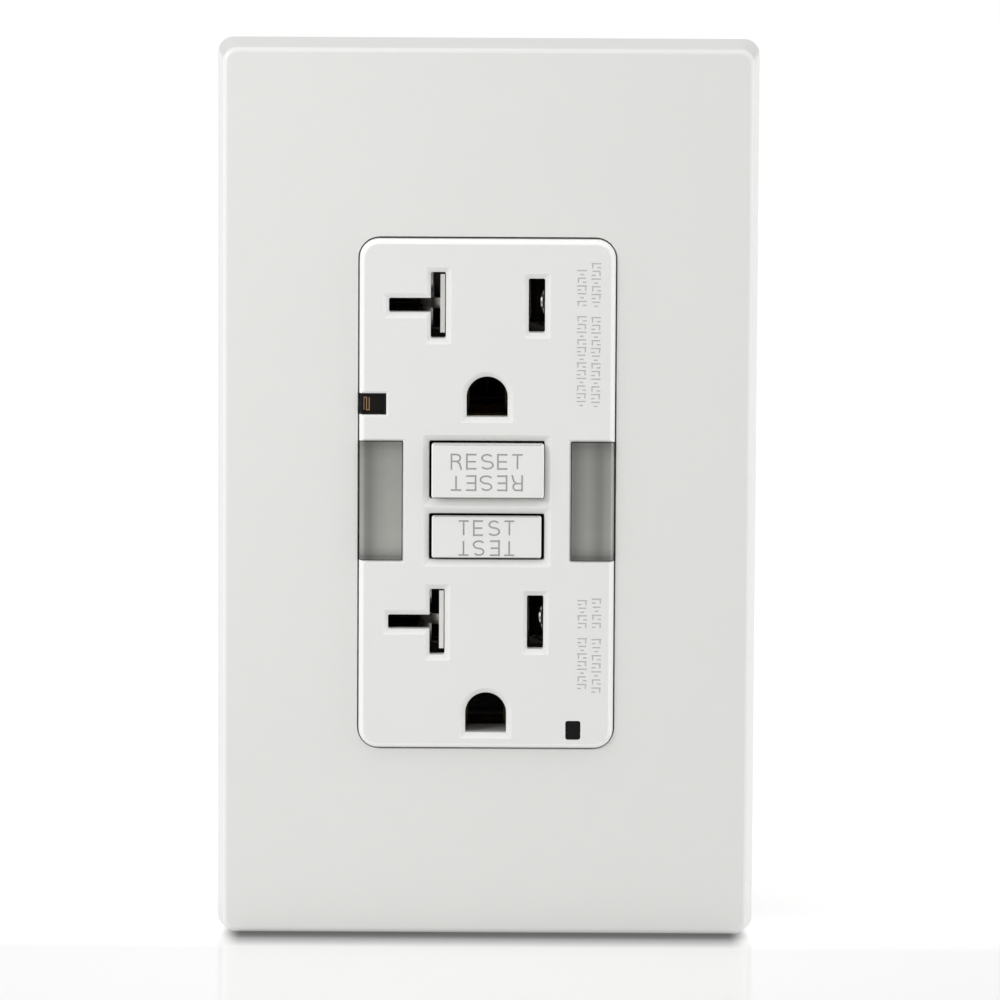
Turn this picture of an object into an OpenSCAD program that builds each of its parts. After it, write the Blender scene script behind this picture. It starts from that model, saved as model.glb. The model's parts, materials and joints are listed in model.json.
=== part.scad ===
// Ground-fault outlet with two 20 A receptacles, guide lights and a clip-on wall plate.
// X is to the right, Y goes into the wall and Z is up. Millimetres.
// The origin is the centre of the mounting plane: the rear face of the strap's ears.

/* [Wall plate] */
// Width of the wall plate at its rear rim
plate_w = 69.85; // [69.5:0.05:71]
// Height of the wall plate at its rear rim
plate_h = 117.1; // [117:0.1:118]
// Depth from the wall to the front of the plate
plate_depth = 6.6; // [6.4:0.1:6.8]
// Wall thickness of the plate
plate_wall = 1.8; // [1.5:0.1:2]
// Width of the opening for the device face
opening_w = 33.3; // [33.2:0.05:33.6]
// Height of the opening for the device face
opening_h = 66.8; // [66.7:0.05:67.1]
// Width of the pry notch in the bottom edge
notch_w = 13; // [8:1:16]

/* [Device face] */
// Width of the device face
face_w = 33; // [32.6:0.1:33]
// Height of the device face
face_h = 66.4; // [66:0.1:66.5]
// How far the face stands in front of the mounting plane
face_front = 7.6; // [7.4:0.1:8]
// Height of the upper slot row above the centre
upper_z = 24.6; // [24:0.1:25]
// Height of the lower slot row, below the centre
lower_z = -16.7; // [-17:0.1:-16.4]
// Distance between the centres of the two slots of a receptacle
slot_spacing = 12.7; // [12.6:0.1:12.8]
// Drop from a slot row to its ground hole
ground_drop = 11.9; // [11.8:0.1:12]
// Width of a ground hole
ground_d = 5.3; // [5.2:0.1:5.4]

/* [Strap and body] */
// Height of the mounting strap
strap_h = 106.7; // [106:0.1:107]
// Distance between the two screws that hold the device in its box
box_spacing = 83.34; // [83.3:0.01:83.4]
// Distance between the two tapped holes for the cover
cover_spacing = 96.84; // [96.8:0.01:96.9]
// Width of the body behind the wall plate
body_w = 43.2; // [43:0.1:43.6]
// Height of the body behind the wall plate
body_h = 70; // [69.8:0.1:70]
// Depth of the body behind the mounting plane
body_depth = 27; // [26.8:0.1:28]

/* [Buttons] */
// How far the reset button stands out of the face
reset_proud = 0.9; // [0.4:0.1:1.2]
// Travel of the reset button
reset_travel = 2; // [1:0.1:2]
// Travel of the test button
test_travel = 1.2; // [0.5:0.1:1.2]

/* [Hidden] */

$fn = 48;
eps = 0.01;
face_y = -face_front;
strap_t = 1.4;
ear_y = -strap_t;
sub_front = -3.4;
cover_wall = 2;
skirt_wall = 1.8;
flange_front = -1;
parting_y = 5.5;
leaf_y = 1;
leaf_t = 0.3;
pin_tip = 14.7 - reset_travel;
housing_wall = 1.6;
separator_front = 3.4;
bridge_y0 = 5.6;
bridge_y1 = bridge_y0 + strap_t;
board_y = 21.5;
board_t = 1.6;
slot_x = slot_spacing / 2;
ground_r = ground_d / 2;
ground_flat = 2.6;
ground_rows = [upper_z - ground_drop, lower_z - ground_drop];
reset_z = 3.2;
reset_opening = [14.9, 7.55];
test_z = -5.53;
test_opening = [14.9, 6.03];
flange_rest = -5.4;
button_flange_t = 1;
boss_x = 17;
boss_z = 30.4;
bus_y = 2.6;
bus_t = 0.8;
terminal_z = 18;
terminal_y = 10;
terminal_x = 18.8;
terminal_t = 0.8;
wire_screw_r = 2.05;
clamp_x = 15.3;
clamp_t = 1.6;
ground_screw_x = -9;
ground_screw_y = 12;
arm_y = 11.2;
arm_t = 0.6;
arm_hinge_z = -12;
contact_z = 6;
contact_x = 12.6;
latch_z = 3.2;
solenoid_y = 14.2;
ring_z = -20.5;
lens_z0 = -8.63;
lens_z1 = 6.97;
lens_x = 10.87;

// ---- shared shapes ----

module both_x() {
    children();
    mirror([1, 0, 0]) children();
}

module both_z() {
    children();
    mirror([0, 0, 1]) children();
}

module block(x0, x1, y0, y1, z0, z1) {
    translate([x0, y0, z0]) cube([x1 - x0, y1 - y0, z1 - z0]);
}

module rounded_rect(w, h, r) {
    square([w - 2 * r, h], center = true);
    square([w, h - 2 * r], center = true);
    for (sx = [-1, 1], sy = [-1, 1])
        translate([sx * (w / 2 - r), sy * (h / 2 - r)]) circle(r);
}

// A plate that faces the viewer: w wide, h tall, from depth y0 to depth y1.
module slab(w, h, y0, y1, r = 0.5, x = 0, z = 0) {
    translate([x, y1, z]) rotate([90, 0, 0]) linear_extrude(y1 - y0) rounded_rect(w, h, r);
}

module rod_x(r, x0, x1, y, z) {
    translate([x0, y, z]) rotate([0, 90, 0]) cylinder(h = x1 - x0, r = r);
}

module rod_y(r, y0, y1, x, z) {
    translate([x, y0, z]) rotate([-90, 0, 0]) cylinder(h = y1 - y0, r = r);
}

module rod_z(r, z0, z1, x, y) {
    translate([x, y, z0]) cylinder(h = z1 - z0, r = r);
}

// A cone along Y, from radius r0 at depth y0 to radius r1 at depth y1.
module cone_y(r0, r1, y0, y1, x, z) {
    translate([x, y0, z]) rotate([-90, 0, 0]) cylinder(h = y1 - y0, r1 = r0, r2 = r1);
}

module bevel_profile(span, c) {
    polygon([[-span / 2 - c - eps, -eps], [span / 2 + c + eps, -eps], [span / 2, c], [-span / 2, c]]);
}

// The bevelled mouth of a w by h opening in the device face.
module mouth_bevel(w, h, c, x, z) {
    translate([x, face_y, z]) intersection() {
        translate([0, 0, -h / 2 - 2 * c]) linear_extrude(h + 4 * c) bevel_profile(w, c);
        rotate([0, 90, 0]) translate([0, 0, -w / 2 - 2 * c]) linear_extrude(w + 4 * c) bevel_profile(h, c);
    }
}

// A coil spring of round wire along +Z, as one swept tube.
module coil(radius, wire_r, length, turns) {
    sides = 8;
    rings = turns * 14;
    points = [for (i = [0:rings], j = [0:sides - 1])
        let (turn = 360 * turns * i / rings, side = 360 * j / sides, reach = radius + wire_r * cos(side))
        [reach * cos(turn), reach * sin(turn), wire_r + (length - 2 * wire_r) * i / rings + wire_r * sin(side)]];
    walls = [for (i = [0:rings - 1], j = [0:sides - 1])
        let (a = i * sides + j, b = i * sides + (j + 1) % sides) [a, b, b + sides, a + sides]];
    first = [for (j = [sides - 1:-1:0]) j];
    last = [for (j = [0:sides - 1]) rings * sides + j];
    polyhedron(points, concat([first], walls, [last]));
}

// ---- wall plate ----

module plate_outside() {
    hull() {
        slab(plate_w, plate_h, -0.3, 0, 2);
        slab(plate_w - 1.32, plate_h - 1.32, -plate_depth + 1.3, -plate_depth + 1.35, 2);
        slab(plate_w - 1.56, plate_h - 1.56, -plate_depth + 0.8, -plate_depth + 0.85, 1.9);
        slab(plate_w - 1.96, plate_h - 1.96, -plate_depth + 0.35, -plate_depth + 0.4, 1.7);
        slab(plate_w - 2.8, plate_h - 2.9, -plate_depth, -plate_depth + 0.05, 1.3);
    }
}

module wall_plate() {
    hook_x = plate_w / 2 - plate_wall;
    color("whitesmoke") {
        difference() {
            plate_outside();
            slab(plate_w - 2 * plate_wall, plate_h - 2 * plate_wall, -plate_depth + plate_wall, 1, 1);
            slab(opening_w, opening_h, -plate_depth - 1, 1, 2.8);
            block(-notch_w / 2, notch_w / 2, -1.3, 1, -plate_h / 2 - 1, -plate_h / 2 + plate_wall + 1);
        }
        both_x() both_z() block(hook_x - 0.65, hook_x + 0.2, -1.8, -0.6, 36, 44);
        both_x() both_z() for (z = [36, 43.2]) block(hook_x - 0.6, hook_x + 0.2, -plate_depth + 1, -1.8, z, z + 0.8);
    }
}

// ---- sub-plate and its screws ----

module sub_plate() {
    color("gainsboro") difference() {
        union() {
            slab(63.4, 111, sub_front, ear_y, 2);
            difference() {
                slab(63.4, 111, sub_front - 1.1, sub_front, 2);
                slab(61, 108.6, sub_front - 2, sub_front + eps, 1.2);
            }
            both_x() both_z() block(31, 32.2, sub_front, -2.2, 37.5, 42.5);
        }
        slab(33.8, 67.3, sub_front - 2, 0, 2.9);
        both_z() {
            rod_y(1.9, sub_front - 1, 0, 0, cover_spacing / 2);
            cone_y(3.75, 1.75, sub_front - eps, sub_front + 2, 0, cover_spacing / 2);
            rod_y(3.8, sub_front - 1, 0, 0, box_spacing / 2);
        }
        both_x() both_z() block(24, 26, sub_front - 1, 0, 8, 28);
    }
}

module sub_plate_screws() {
    z = cover_spacing / 2;
    color("white") both_z() difference() {
        union() {
            cone_y(3.5, 1.7, sub_front, sub_front + 1.8, 0, z);
            rod_y(1.7, sub_front + 1.7, 6, 0, z);
        }
        block(-4, 4, sub_front - 1, sub_front + 0.9, z - 0.45, z + 0.45);
    }
}

// ---- mounting strap, its screws and the ground path ----

module strap_end() {
    ear_mid = (strap_h / 2 + 35.2) / 2;
    slab(26, strap_h / 2 - 35.2, ear_y, 0, 2, 0, ear_mid);
    both_x() rod_y(3.95, ear_y, 0, 14.6, 49.4);
    block(-8, 8, ear_y, bridge_y1, 35.2, 35.2 + strap_t);
}

module mounting_strap() {
    color("silver") difference() {
        union() {
            both_z() strap_end();
            block(-4.4, 4.4, bridge_y0, bridge_y1, -35.2, 35.2);
            both_z() block(-8.5, 8.5, bridge_y0, bridge_y1, 31, 35.2 + strap_t);
            block(-14, -4, bridge_y0, 17.2, -35.2 - strap_t, -35.2);
        }
        both_z() {
            rod_y(1.75, -3, 1, 0, cover_spacing / 2);
            slab(7, 4, -3, 1, 1.99, 0, box_spacing / 2);
            both_x() rod_y(1.5, -3, 1, 14.6, 49.4);
        }
        rod_y(2.2, 5, 8, 0, reset_z);
        block(-3, 3, 5, 8, -9.5, -3.5);
        for (z = ground_rows, s = [-1, 1]) rod_y(0.65, 5, 8, 0, z + 3.6 * s);
        for (z = ground_rows) ground_hole(5, 8, z);
        rod_z(2.35, -38, -34, ground_screw_x, ground_screw_y);
    }
}

module mounting_screws() {
    z = box_spacing / 2;
    color("silver") both_z() difference() {
        union() {
            rod_y(3.2, ear_y - 1.1, ear_y, 0, z);
            rod_y(1.45, ear_y - 0.1, 0.5, 0, z);
            rod_y(1.75, 0.45, 19, 0, z);
            cone_y(1.75, 1.1, 19, 20, 0, z);
        }
        block(-4, 4, ear_y - 2, ear_y - 0.5, z - 0.45, z + 0.45);
        block(-0.45, 0.45, ear_y - 2, ear_y - 0.5, z - 2.2, z + 2.2);
    }
}

module screw_retainers() {
    color("bisque") both_z() difference() {
        slab(8, 8, 0, 0.4, 1, 0, box_spacing / 2);
        rod_y(1.6, -1, 2, 0, box_spacing / 2);
    }
}

module ground_contacts() {
    color("gold") for (z = ground_rows) difference() {
        union() {
            block(-3.6, 3.6, 4.9, bridge_y0, z - 4.6, z + 4.6);
            both_x() block(2.3, 2.85, -1.8, 5, z - 2.3, z + 2.3);
            both_x() block(2.8, 3.5, -1.8, -1.3, z - 2.3, z + 2.3);
        }
        for (s = [-1, 1]) rod_y(0.65, 4, 6, 0, z + 3.6 * s);
        ground_hole(4, 6, z);
    }
}

module ground_rivets() {
    color("goldenrod") for (z = ground_rows, s = [-1, 1]) {
        rod_y(0.6, 4.8, bridge_y1 + 0.1, 0, z + 3.6 * s);
        rod_y(0.95, 4.5, 4.9, 0, z + 3.6 * s);
        rod_y(0.95, bridge_y1, bridge_y1 + 0.4, 0, z + 3.6 * s);
    }
}

// A wire-binding screw along +X: the hex head is outermost and rests on the terminal plate.
module binding_screw(head_x) {
    difference() {
        union() {
            translate([head_x, 0, 0]) rotate([0, 90, 0]) cylinder(h = 2, r = 4, $fn = 6);
            rod_x(wire_screw_r, head_x - 5.4, head_x + 0.1, 0, 0);
        }
        block(head_x + 1, head_x + 3, -0.55, 0.55, -5, 5);
        block(head_x + 1, head_x + 3, -2.4, 2.4, -0.5, 0.5);
    }
}

// The threaded plate that the screw pulls towards the terminal.
module wire_clamp(x) {
    difference() {
        union() {
            block(x, x + clamp_t, -3.4, 3.4, -4, 4);
            block(x + clamp_t - 0.1, x + clamp_t + 0.2, -3.4, 3.4, -3.8, -3.5);
            block(x + clamp_t - 0.1, x + clamp_t + 0.2, -3.4, 3.4, 3.5, 3.8);
        }
        rod_x(wire_screw_r + 0.08, x - 1, x + clamp_t + 1, 0, 0);
    }
}

module ground_screw() {
    color("seagreen") translate([ground_screw_x, ground_screw_y, -35.2 - strap_t - 0.05])
        rotate([0, 90, 0]) binding_screw(0);
}

module ground_clamp() {
    color("silver") translate([ground_screw_x, ground_screw_y, 0]) rotate([0, 90, 0]) wire_clamp(31.5);
}

// ---- device face, separator and rear housing ----

module nose_shape(inset = 0) {
    w = face_w - 2 * inset;
    h = face_h - 2 * inset;
    hull() {
        slab(w, h, face_y + 0.9, flange_front, 2.5);
        slab(w - 0.5, h - 0.5, face_y + 0.27 + inset, face_y + 0.3 + inset, 2.3);
        slab(w - 1.6, h - 1.6, face_y + inset, face_y + 0.02 + inset, 1.7);
    }
}

module slot_cut(w, h, x, z, bevel) {
    slab(w, h, face_y - 1, face_y + cover_wall + 1, 0.3, x, z);
    mouth_bevel(w, h, bevel, x, z);
}

module ground_hole(y0, y1, z) {
    rod_y(ground_r, y0, y1, 0, z);
    block(-ground_r, ground_r, y0, y1, z - ground_flat, z);
}

module receptacle_cut(z) {
    ground_z = z - ground_drop;
    slot_cut(2.1, 7, slot_x, z, 0.7);
    slot_cut(1.95, 8.6, -slot_x, z, 0.7);
    slot_cut(5.6, 1.85, -9.9, z, 0.7);
    ground_hole(face_y - 1, face_y + cover_wall + 1, ground_z);
    intersection() {
        union() {
            cone_y(ground_r + 0.7, ground_r, face_y - eps, face_y + 0.7, 0, ground_z);
            block(-5, 5, face_y - 1, face_y + 0.7, ground_z - 5, ground_z);
        }
        mouth_bevel(ground_d, ground_r + ground_flat, 0.7, 0, ground_z + (ground_r - ground_flat) / 2);
    }
}

module face_cover() {
    color("white") difference() {
        union() {
            nose_shape();
            slab(body_w, body_h, flange_front, parting_y, 1.5);
        }
        difference() {
            slab(face_w - 2 * skirt_wall, face_h - 2 * skirt_wall, face_y + cover_wall, parting_y + 1, 1);
            both_x() both_z() rod_y(2.9, 0, 9, boss_x, boss_z);
        }
        difference() {
            slab(body_w - 2 * skirt_wall, body_h - 2 * skirt_wall, 0.8, parting_y + 1, 1);
            both_x() both_z() rod_y(2.9, 0, 9, boss_x, boss_z);
        }
        both_x() both_z() rod_y(1.32, -0.6, 9, boss_x, boss_z);
        receptacle_cut(upper_z);
        receptacle_cut(lower_z);
        slot_cut(reset_opening[0], reset_opening[1], 0, reset_z, 0.6);
        slot_cut(test_opening[0], test_opening[1], 0, test_z, 0.6);
        both_x() block(lens_x, 17, face_y - 1, -2.2, lens_z0, lens_z1);
        block(-17, -13.02, face_y - 1, -3.4, 10.37, 13.16);
        slab(1.95, 2.49, face_y - 1, face_y + 3, 0.3, 11.315, -30.785);
    }
}

module separator() {
    color("dimgray") difference() {
        slab(39, 65.8, separator_front, bridge_y0, 1);
        both_x() both_z() rod_y(3.1, 2, 7, boss_x, boss_z);
        rod_y(1.9, 2, 7, 0, reset_z);
        for (z = ground_rows) block(-4.2, 4.2, 3, 7, z - 4.8, z + 4.8);
        for (z = [upper_z, lower_z]) {
            block(slot_x - 0.9, slot_x + 0.9, 3, 7, z - 3.5, z + 3.5);
            mirror([1, 0, 0]) neutral_blade_room(z, 3, 7);
        }
        both_x() block(18.3, 20, 3, 7, terminal_z - 5.2, terminal_z + 5.2);
        both_x() block(13.8, 15.4, 3, 7, contact_z - 2.4, contact_z + 2.4);
    }
}

module terminal_chamber() {
    block(14.3, 15, 16, body_depth - housing_wall, terminal_z - 6, terminal_z + 6);
    block(14.3, body_w / 2 - 1, 16, body_depth - housing_wall, terminal_z - 6.7, terminal_z - 6);
    block(14.3, body_w / 2 - 1, 16, body_depth - housing_wall, terminal_z + 6, terminal_z + 6.7);
}

module rear_housing() {
    back = body_depth - housing_wall;
    color("lightgray") difference() {
        union() {
            difference() {
                slab(body_w, body_h, parting_y, body_depth, 1.5);
                slab(body_w - 2 * housing_wall, body_h - 2 * housing_wall, parting_y - 1, back, 1);
            }
            both_x() both_z() rod_y(2.85, parting_y, back + 0.2, boss_x, boss_z);
            both_x() block(9.5, 11, board_y + board_t, back + 0.2, -26, 26);
            both_x() both_z() terminal_chamber();
        }
        both_z() block(-8.6, 8.6, parting_y - 1, bridge_y1, 33, 36);
        both_x() both_z() block(19, 22, parting_y - 1, 15.6, terminal_z - 5.8, terminal_z + 5.8);
        block(-14.6, -3.4, parting_y - 1, 17.4, -36, -33);
        both_x() both_z() {
            rod_y(1.45, 0, 30, boss_x, boss_z);
            rod_y(2.8, back - 0.3, 30, boss_x, boss_z);
            for (s = [-1, 1])
                slab(2.4, 2.4, back - 1, 30, 0.2, 17.8, terminal_z + 3.3 * s);
        }
        both_x() both_z() block(body_w / 2 - 1, body_w / 2 + 1, 16.6, 24, terminal_z - 4.5, terminal_z + 4.5);
        block(-10, 10, body_depth - 0.5, body_depth + 1, -7, 7);
    }
}

module housing_screws() {
    head_y = body_depth - housing_wall - 0.3;
    color("silver") both_x() both_z() difference() {
        union() {
            rod_y(2.5, head_y, head_y + 1.5, boss_x, boss_z);
            rod_y(1.3, -0.4, head_y + 0.1, boss_x, boss_z);
        }
        block(boss_x - 1.6, boss_x + 1.6, head_y + 0.7, 30, boss_z - 0.35, boss_z + 0.35);
        block(boss_x - 0.35, boss_x + 0.35, head_y + 0.7, 30, boss_z - 1.6, boss_z + 1.6);
    }
}

// ---- reset and test ----

module button_cap(w, h, front, z) {
    slab(w, h, front + 0.35, flange_rest + 0.1, 0.8, 0, z);
    slab(w - 0.7, h - 0.7, front, front + 0.4, 0.6, 0, z);
    slab(w + 1.5, h + 0.9, flange_rest, flange_rest + button_flange_t, 0.8, 0, z);
}

module reset_button() {
    color("white") difference() {
        union() {
            button_cap(14.55, 7.05, face_y - reset_proud, reset_z);
            rod_y(3.2, flange_rest + 0.5, -3, 0, reset_z);
        }
        rod_y(1.5, -6, -2, 0, reset_z);
    }
}

module reset_pin() {
    color("silver") {
        rod_y(1.5, -6, pin_tip - 3.1, 0, reset_z);
        rod_y(1.1, pin_tip - 3.2, pin_tip - 1.5, 0, reset_z);
        cone_y(1.5, 0.9, pin_tip - 1.5, pin_tip, 0, reset_z);
    }
}

module reset_spring() {
    color("lightsteelblue") translate([0, -4.35, reset_z]) rotate([-90, 0, 0]) coil(3.75, 0.3, 7.7, 6);
}

module test_button() {
    color("white") {
        button_cap(14.25, 5.5, face_y + 0.15, test_z);
        block(-1.6, 1.6, flange_rest + 0.5, leaf_y - 0.1, test_z - 1, test_z + 1);
    }
}

module test_leaf() {
    color("gold") {
        block(-2, 2, leaf_y, leaf_y + leaf_t, -14, -3.6);
        block(-2, 2, leaf_y, separator_front, -14, -14 + leaf_t);
        block(-2, 2, separator_front - leaf_t, separator_front, -14, -11.5);
    }
}

module test_contact() {
    color("silver") {
        block(-1.8, 1.8, separator_front - 0.4, separator_front, -8, -3.2);
        rod_y(0.9, leaf_y + leaf_t + test_travel + 0.2, separator_front - 0.2, 0, test_z);
    }
}

// ---- latch and solenoid ----

module latch_block() {
    color("ivory") difference() {
        union() {
            block(-5.3, 5.3, 10, 19, latch_z - 4.2, latch_z + 4.2);
            rod_x(1.2, -14.4, 14.4, arm_y + arm_t + 1.25, latch_z);
        }
        rod_y(1.9, 8, 20, 0, latch_z);
        block(-3.4, 3.4, 13.5, 14.7, latch_z - 6, latch_z + 6);
    }
}

module latch_plate() {
    color("silver") difference() {
        union() {
            block(-3.2, 3.2, 13.7, 14.5, latch_z - 6.2, 10.3);
            block(-3.2, 3.2, 11.2, 16.3, 9.5, 10.3);
        }
        rod_y(1.9, 12, 16, 0, latch_z);
        rod_y(1.9, 12, 16, 0, latch_z + 1.4);
        block(-1.9, 1.9, 12, 15.2, latch_z, latch_z + 1.4);
    }
}

module latch_spring() {
    color("lightsteelblue") translate([0, 12.4, latch_z + 4.25]) coil(0.85, 0.15, 2, 3);
}

module solenoid_bobbin() {
    color("tan") {
        difference() {
            union() {
                rod_z(3.3, 15.3, 31.9, 0, solenoid_y);
                rod_z(6.4, 15.3, 16.3, 0, solenoid_y);
                rod_z(6.4, 30.9, 31.9, 0, solenoid_y);
            }
            rod_z(2.5, 16.3, 33, 0, solenoid_y);
            rod_z(1.45, 15, 17, 0, solenoid_y);
        }
        both_x() block(4.5, 6.4, 18, board_y, 30.9, 31.9);
        difference() {
            block(-6.8, 6.8, 9, board_y, latch_z - 4.8, 15.3);
            block(-5.6, 5.6, 8, board_y + 1, latch_z - 5, 15.3);
            block(-7, 7, 8, arm_y + arm_t + 2.75, latch_z - 1.5, latch_z + 1.5);
        }
    }
}

module solenoid_coil() {
    color("chocolate") difference() {
        rod_z(6, 16.35, 30.85, 0, solenoid_y);
        rod_z(3.32, 16, 32, 0, solenoid_y);
    }
}

module solenoid_frame() {
    color("silver") difference() {
        union() {
            block(-8, 8, 11, 18.4, 31.95, 32.9);
            both_x() block(7, 8, 11, 18.4, 15.9, 32.9);
        }
        rod_z(1.5, 31, 34, 0, solenoid_y);
    }
}

module solenoid_plunger() {
    color("gray") {
        rod_z(2.42, 19.5, 30.5, 0, solenoid_y);
        rod_z(1.2, 10.45, 19.6, 0, solenoid_y);
    }
}

module plunger_spring() {
    color("lightsteelblue") translate([0, solenoid_y, 16.35]) coil(1.85, 0.17, 3.1, 4);
}

// ---- circuit board and the electrical path ----

module circuit_board() {
    color("darkgreen") difference() {
        slab(28, 64, board_y, board_y + board_t, 0.5);
        both_x() rod_y(1, board_y - 1, board_y + 3, 11.5, -29);
        block(-4, 4, board_y - 1, board_y + 3, latch_z - 3, latch_z + 3);
    }
}

module line_leads() {
    color("gold") both_x() {
        block(0.5, 1.3, 7.4, board_y, ring_z - 1.4, ring_z + 1.4);
        block(0.5, 14.2, 7.4, 8, ring_z - 2.2, ring_z - 0.5);
        block(12.6, 14.2, 7.4, 8, ring_z - 2.2, arm_hinge_z - 0.4);
        block(11, 14.2, 7.4, arm_y + arm_t, arm_hinge_z - 1, arm_hinge_z - 0.4);
    }
}

module moving_arm() {
    block(11, 14.2, arm_y, arm_y + arm_t, arm_hinge_z, contact_z + 2);
    rod_y(1.5, arm_y - 0.6, arm_y + 0.1, contact_x, contact_z);
}

module line_hot_arm() {
    color("orange") moving_arm();
}

module line_neutral_arm() {
    color("orange") mirror([1, 0, 0]) moving_arm();
}

// The inner leaf of a hot contact: upright, with its mouth flared away from the plug blade.
module inner_leaf(z) {
    translate([slot_x - 1.05, -2.6, z]) {
        block(-0.25, 0.25, -0.05, bus_y + 2.7, -3.2, 3.2);
        rotate([0, 0, -12]) block(-0.25, 0.25, -2.6, 0, -3.2, 3.2);
    }
}

// The outer leaf, bowed towards the plug blade, with a notch in its wide mouth.
module outer_leaf(z) {
    back = bus_y + 0.1;
    difference() {
        translate([slot_x, 0, z - 3.2]) linear_extrude(6.4)
            polygon([[0.8, back], [-0.35, 0.6], [1.2, -3.7], [1.58, -3.56], [0.09, 0.57], [1.25, back]]);
        rod_x(1.55, slot_x, slot_x + 3, -3.3, z);
    }
}

// Room for a plug's neutral blade, upright or level, from depth y0 to depth y1.
module neutral_blade_room(z, y0, y1) {
    block(slot_x - 0.25, slot_x + 0.8, y0, y1, z - 4.1, z + 4.1);
    block(slot_x, 12.5, y0, y1, z - 0.8, z + 0.8);
}

// The neutral contact of a T slot: an upright blade, a tongue across it and two level blades.
module neutral_blades(z) {
    block(slot_x - 0.85, slot_x - 0.25, -5, bus_y + 0.1, z - 3.8, z + 3.8);
    translate([slot_x - 0.4, -4.7, z]) rotate([0, 0, 40]) block(0, 5.1, -0.25, 0.25, -0.7, 0.7);
    for (s = [-1, 1])
        translate([0, 0, z + s * 1.15]) block(8.8, 12.4, -3.4, bus_y + 0.1, -0.3, 0.3);
    block(8.6, 12.4, bus_y, bus_y + bus_t, z - 3, z + 3);
}

module contact_bus() {
    for (z = [upper_z, lower_z]) block(slot_x - 1.35, 10.6, bus_y, bus_y + bus_t, z - 4.4, z + 4.4);
    block(7.4, 10.6, bus_y, bus_y + bus_t, lower_z - 3, upper_z + 3);
    block(7.4, terminal_x + terminal_t, bus_y, bus_y + bus_t, terminal_z - 3, terminal_z + 3);
    difference() {
        block(terminal_x, terminal_x + terminal_t, bus_y, 14.6, terminal_z - 4.6, terminal_z + 4.6);
        rod_x(2.35, terminal_x - 1, terminal_x + 2, terminal_y, terminal_z);
    }
    block(7.4, 15, bus_y, bus_y + bus_t, contact_z - 2, contact_z + 2);
    block(14.2, 15, bus_y, 8, contact_z - 2, contact_z + 2);
    block(11, 15, 7.2, 8, contact_z - 2, contact_z + 2);
}

module hot_contact_bus() {
    color("silver") {
        difference() {
            contact_bus();
            for (z = [upper_z, lower_z]) block(slot_x - 0.8, slot_x + 0.8, bus_y - 1, bus_y + 2, z - 3.4, z + 3.4);
        }
        for (z = [upper_z, lower_z]) {
            inner_leaf(z);
            outer_leaf(z);
        }
    }
}

module neutral_contact_bus() {
    color("silver") mirror([1, 0, 0]) difference() {
        union() {
            contact_bus();
            for (z = [upper_z, lower_z]) neutral_blades(z);
        }
        for (z = [upper_z, lower_z]) neutral_blade_room(z, bus_y - eps, bus_y + 2);
    }
}

module fixed_contact_tips() {
    color("white") both_x() rod_y(1.5, 8, 8.6, contact_x, contact_z);
}

module line_terminal() {
    difference() {
        block(terminal_x, terminal_x + terminal_t, 5.8, 14.6, -terminal_z - 4.6, -terminal_z + 4.6);
        rod_x(2.35, terminal_x - 1, terminal_x + 2, terminal_y, -terminal_z);
    }
    block(12.6, terminal_x + 0.1, 13.8, 14.6, -21, -18);
    block(12.6, 13.4, 13.8, board_y, -21, -18);
}

module line_hot_terminal() {
    color("goldenrod") line_terminal();
}

module line_neutral_terminal() {
    color("silver") mirror([1, 0, 0]) line_terminal();
}

module placed_clamp(side, z) {
    translate([0, terminal_y, z]) mirror([side < 0 ? 1 : 0, 0, 0]) wire_clamp(clamp_x);
}

module placed_screw(side, z) {
    translate([0, terminal_y, z]) mirror([side < 0 ? 1 : 0, 0, 0])
        binding_screw(terminal_x + terminal_t + 0.05);
}

module load_hot_clamp() { color("silver") placed_clamp(1, terminal_z); }
module load_neutral_clamp() { color("silver") placed_clamp(-1, terminal_z); }
module line_hot_clamp() { color("silver") placed_clamp(1, -terminal_z); }
module line_neutral_clamp() { color("silver") placed_clamp(-1, -terminal_z); }
module load_hot_screw() { color("goldenrod") placed_screw(1, terminal_z); }
module load_neutral_screw() { color("silver") placed_screw(-1, terminal_z); }
module line_hot_screw() { color("goldenrod") placed_screw(1, -terminal_z); }
module line_neutral_screw() { color("silver") placed_screw(-1, -terminal_z); }

module ring_y(r_out, r_in, y0, y1) {
    difference() {
        rod_y(r_out, y0, y1, 0, ring_z);
        rod_y(r_in, y0 - 1, y1 + 1, 0, ring_z);
    }
}

module transformer_cores() {
    color("dimgray") for (y = [15, 18.4]) ring_y(7.5, 4.2, y, y + 2);
}

module transformer_windings() {
    color("chocolate") for (y = [15, 18.4]) difference() {
        ring_y(8.1, 3.7, y - 0.5, y + 2.5);
        ring_y(7.5, 4.2, y, y + 2);
    }
}

module transformer_housing() {
    color("black") {
        difference() {
            rod_y(10, 13.7, 21.3, 0, ring_z);
            rod_y(8.3, 14.3, 22, 0, ring_z);
            rod_y(2.6, 13, 22, 0, ring_z);
        }
        ring_y(3.5, 2.6, 13.7, 21.3);
        both_x() rod_y(0.8, 21.2, board_y, 8.9, ring_z);
    }
}

module varistor() {
    color("steelblue") {
        rod_x(4.5, -12.9, -9.6, 16.6, 22);
        for (s = [-1, 1]) rod_y(0.35, 20, board_y, -11.2, 22 + 2.5 * s);
    }
}

module film_capacitor() {
    color("gold") block(9, 13.5, 12.6, board_y, 14, 27);
}

module electrolytic_capacitor() {
    color("midnightblue") rod_y(2.7, 11.5, board_y, -11.1, 13.2);
}

module control_chip() {
    color("black") {
        block(-2, 2, 19.9, 21.2, -9.8, -4.8);
        both_x() for (i = [0:3]) block(1.9, 3, 20.5, board_y, -9.4 + 1.27 * i, -9 + 1.27 * i);
    }
}

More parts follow.
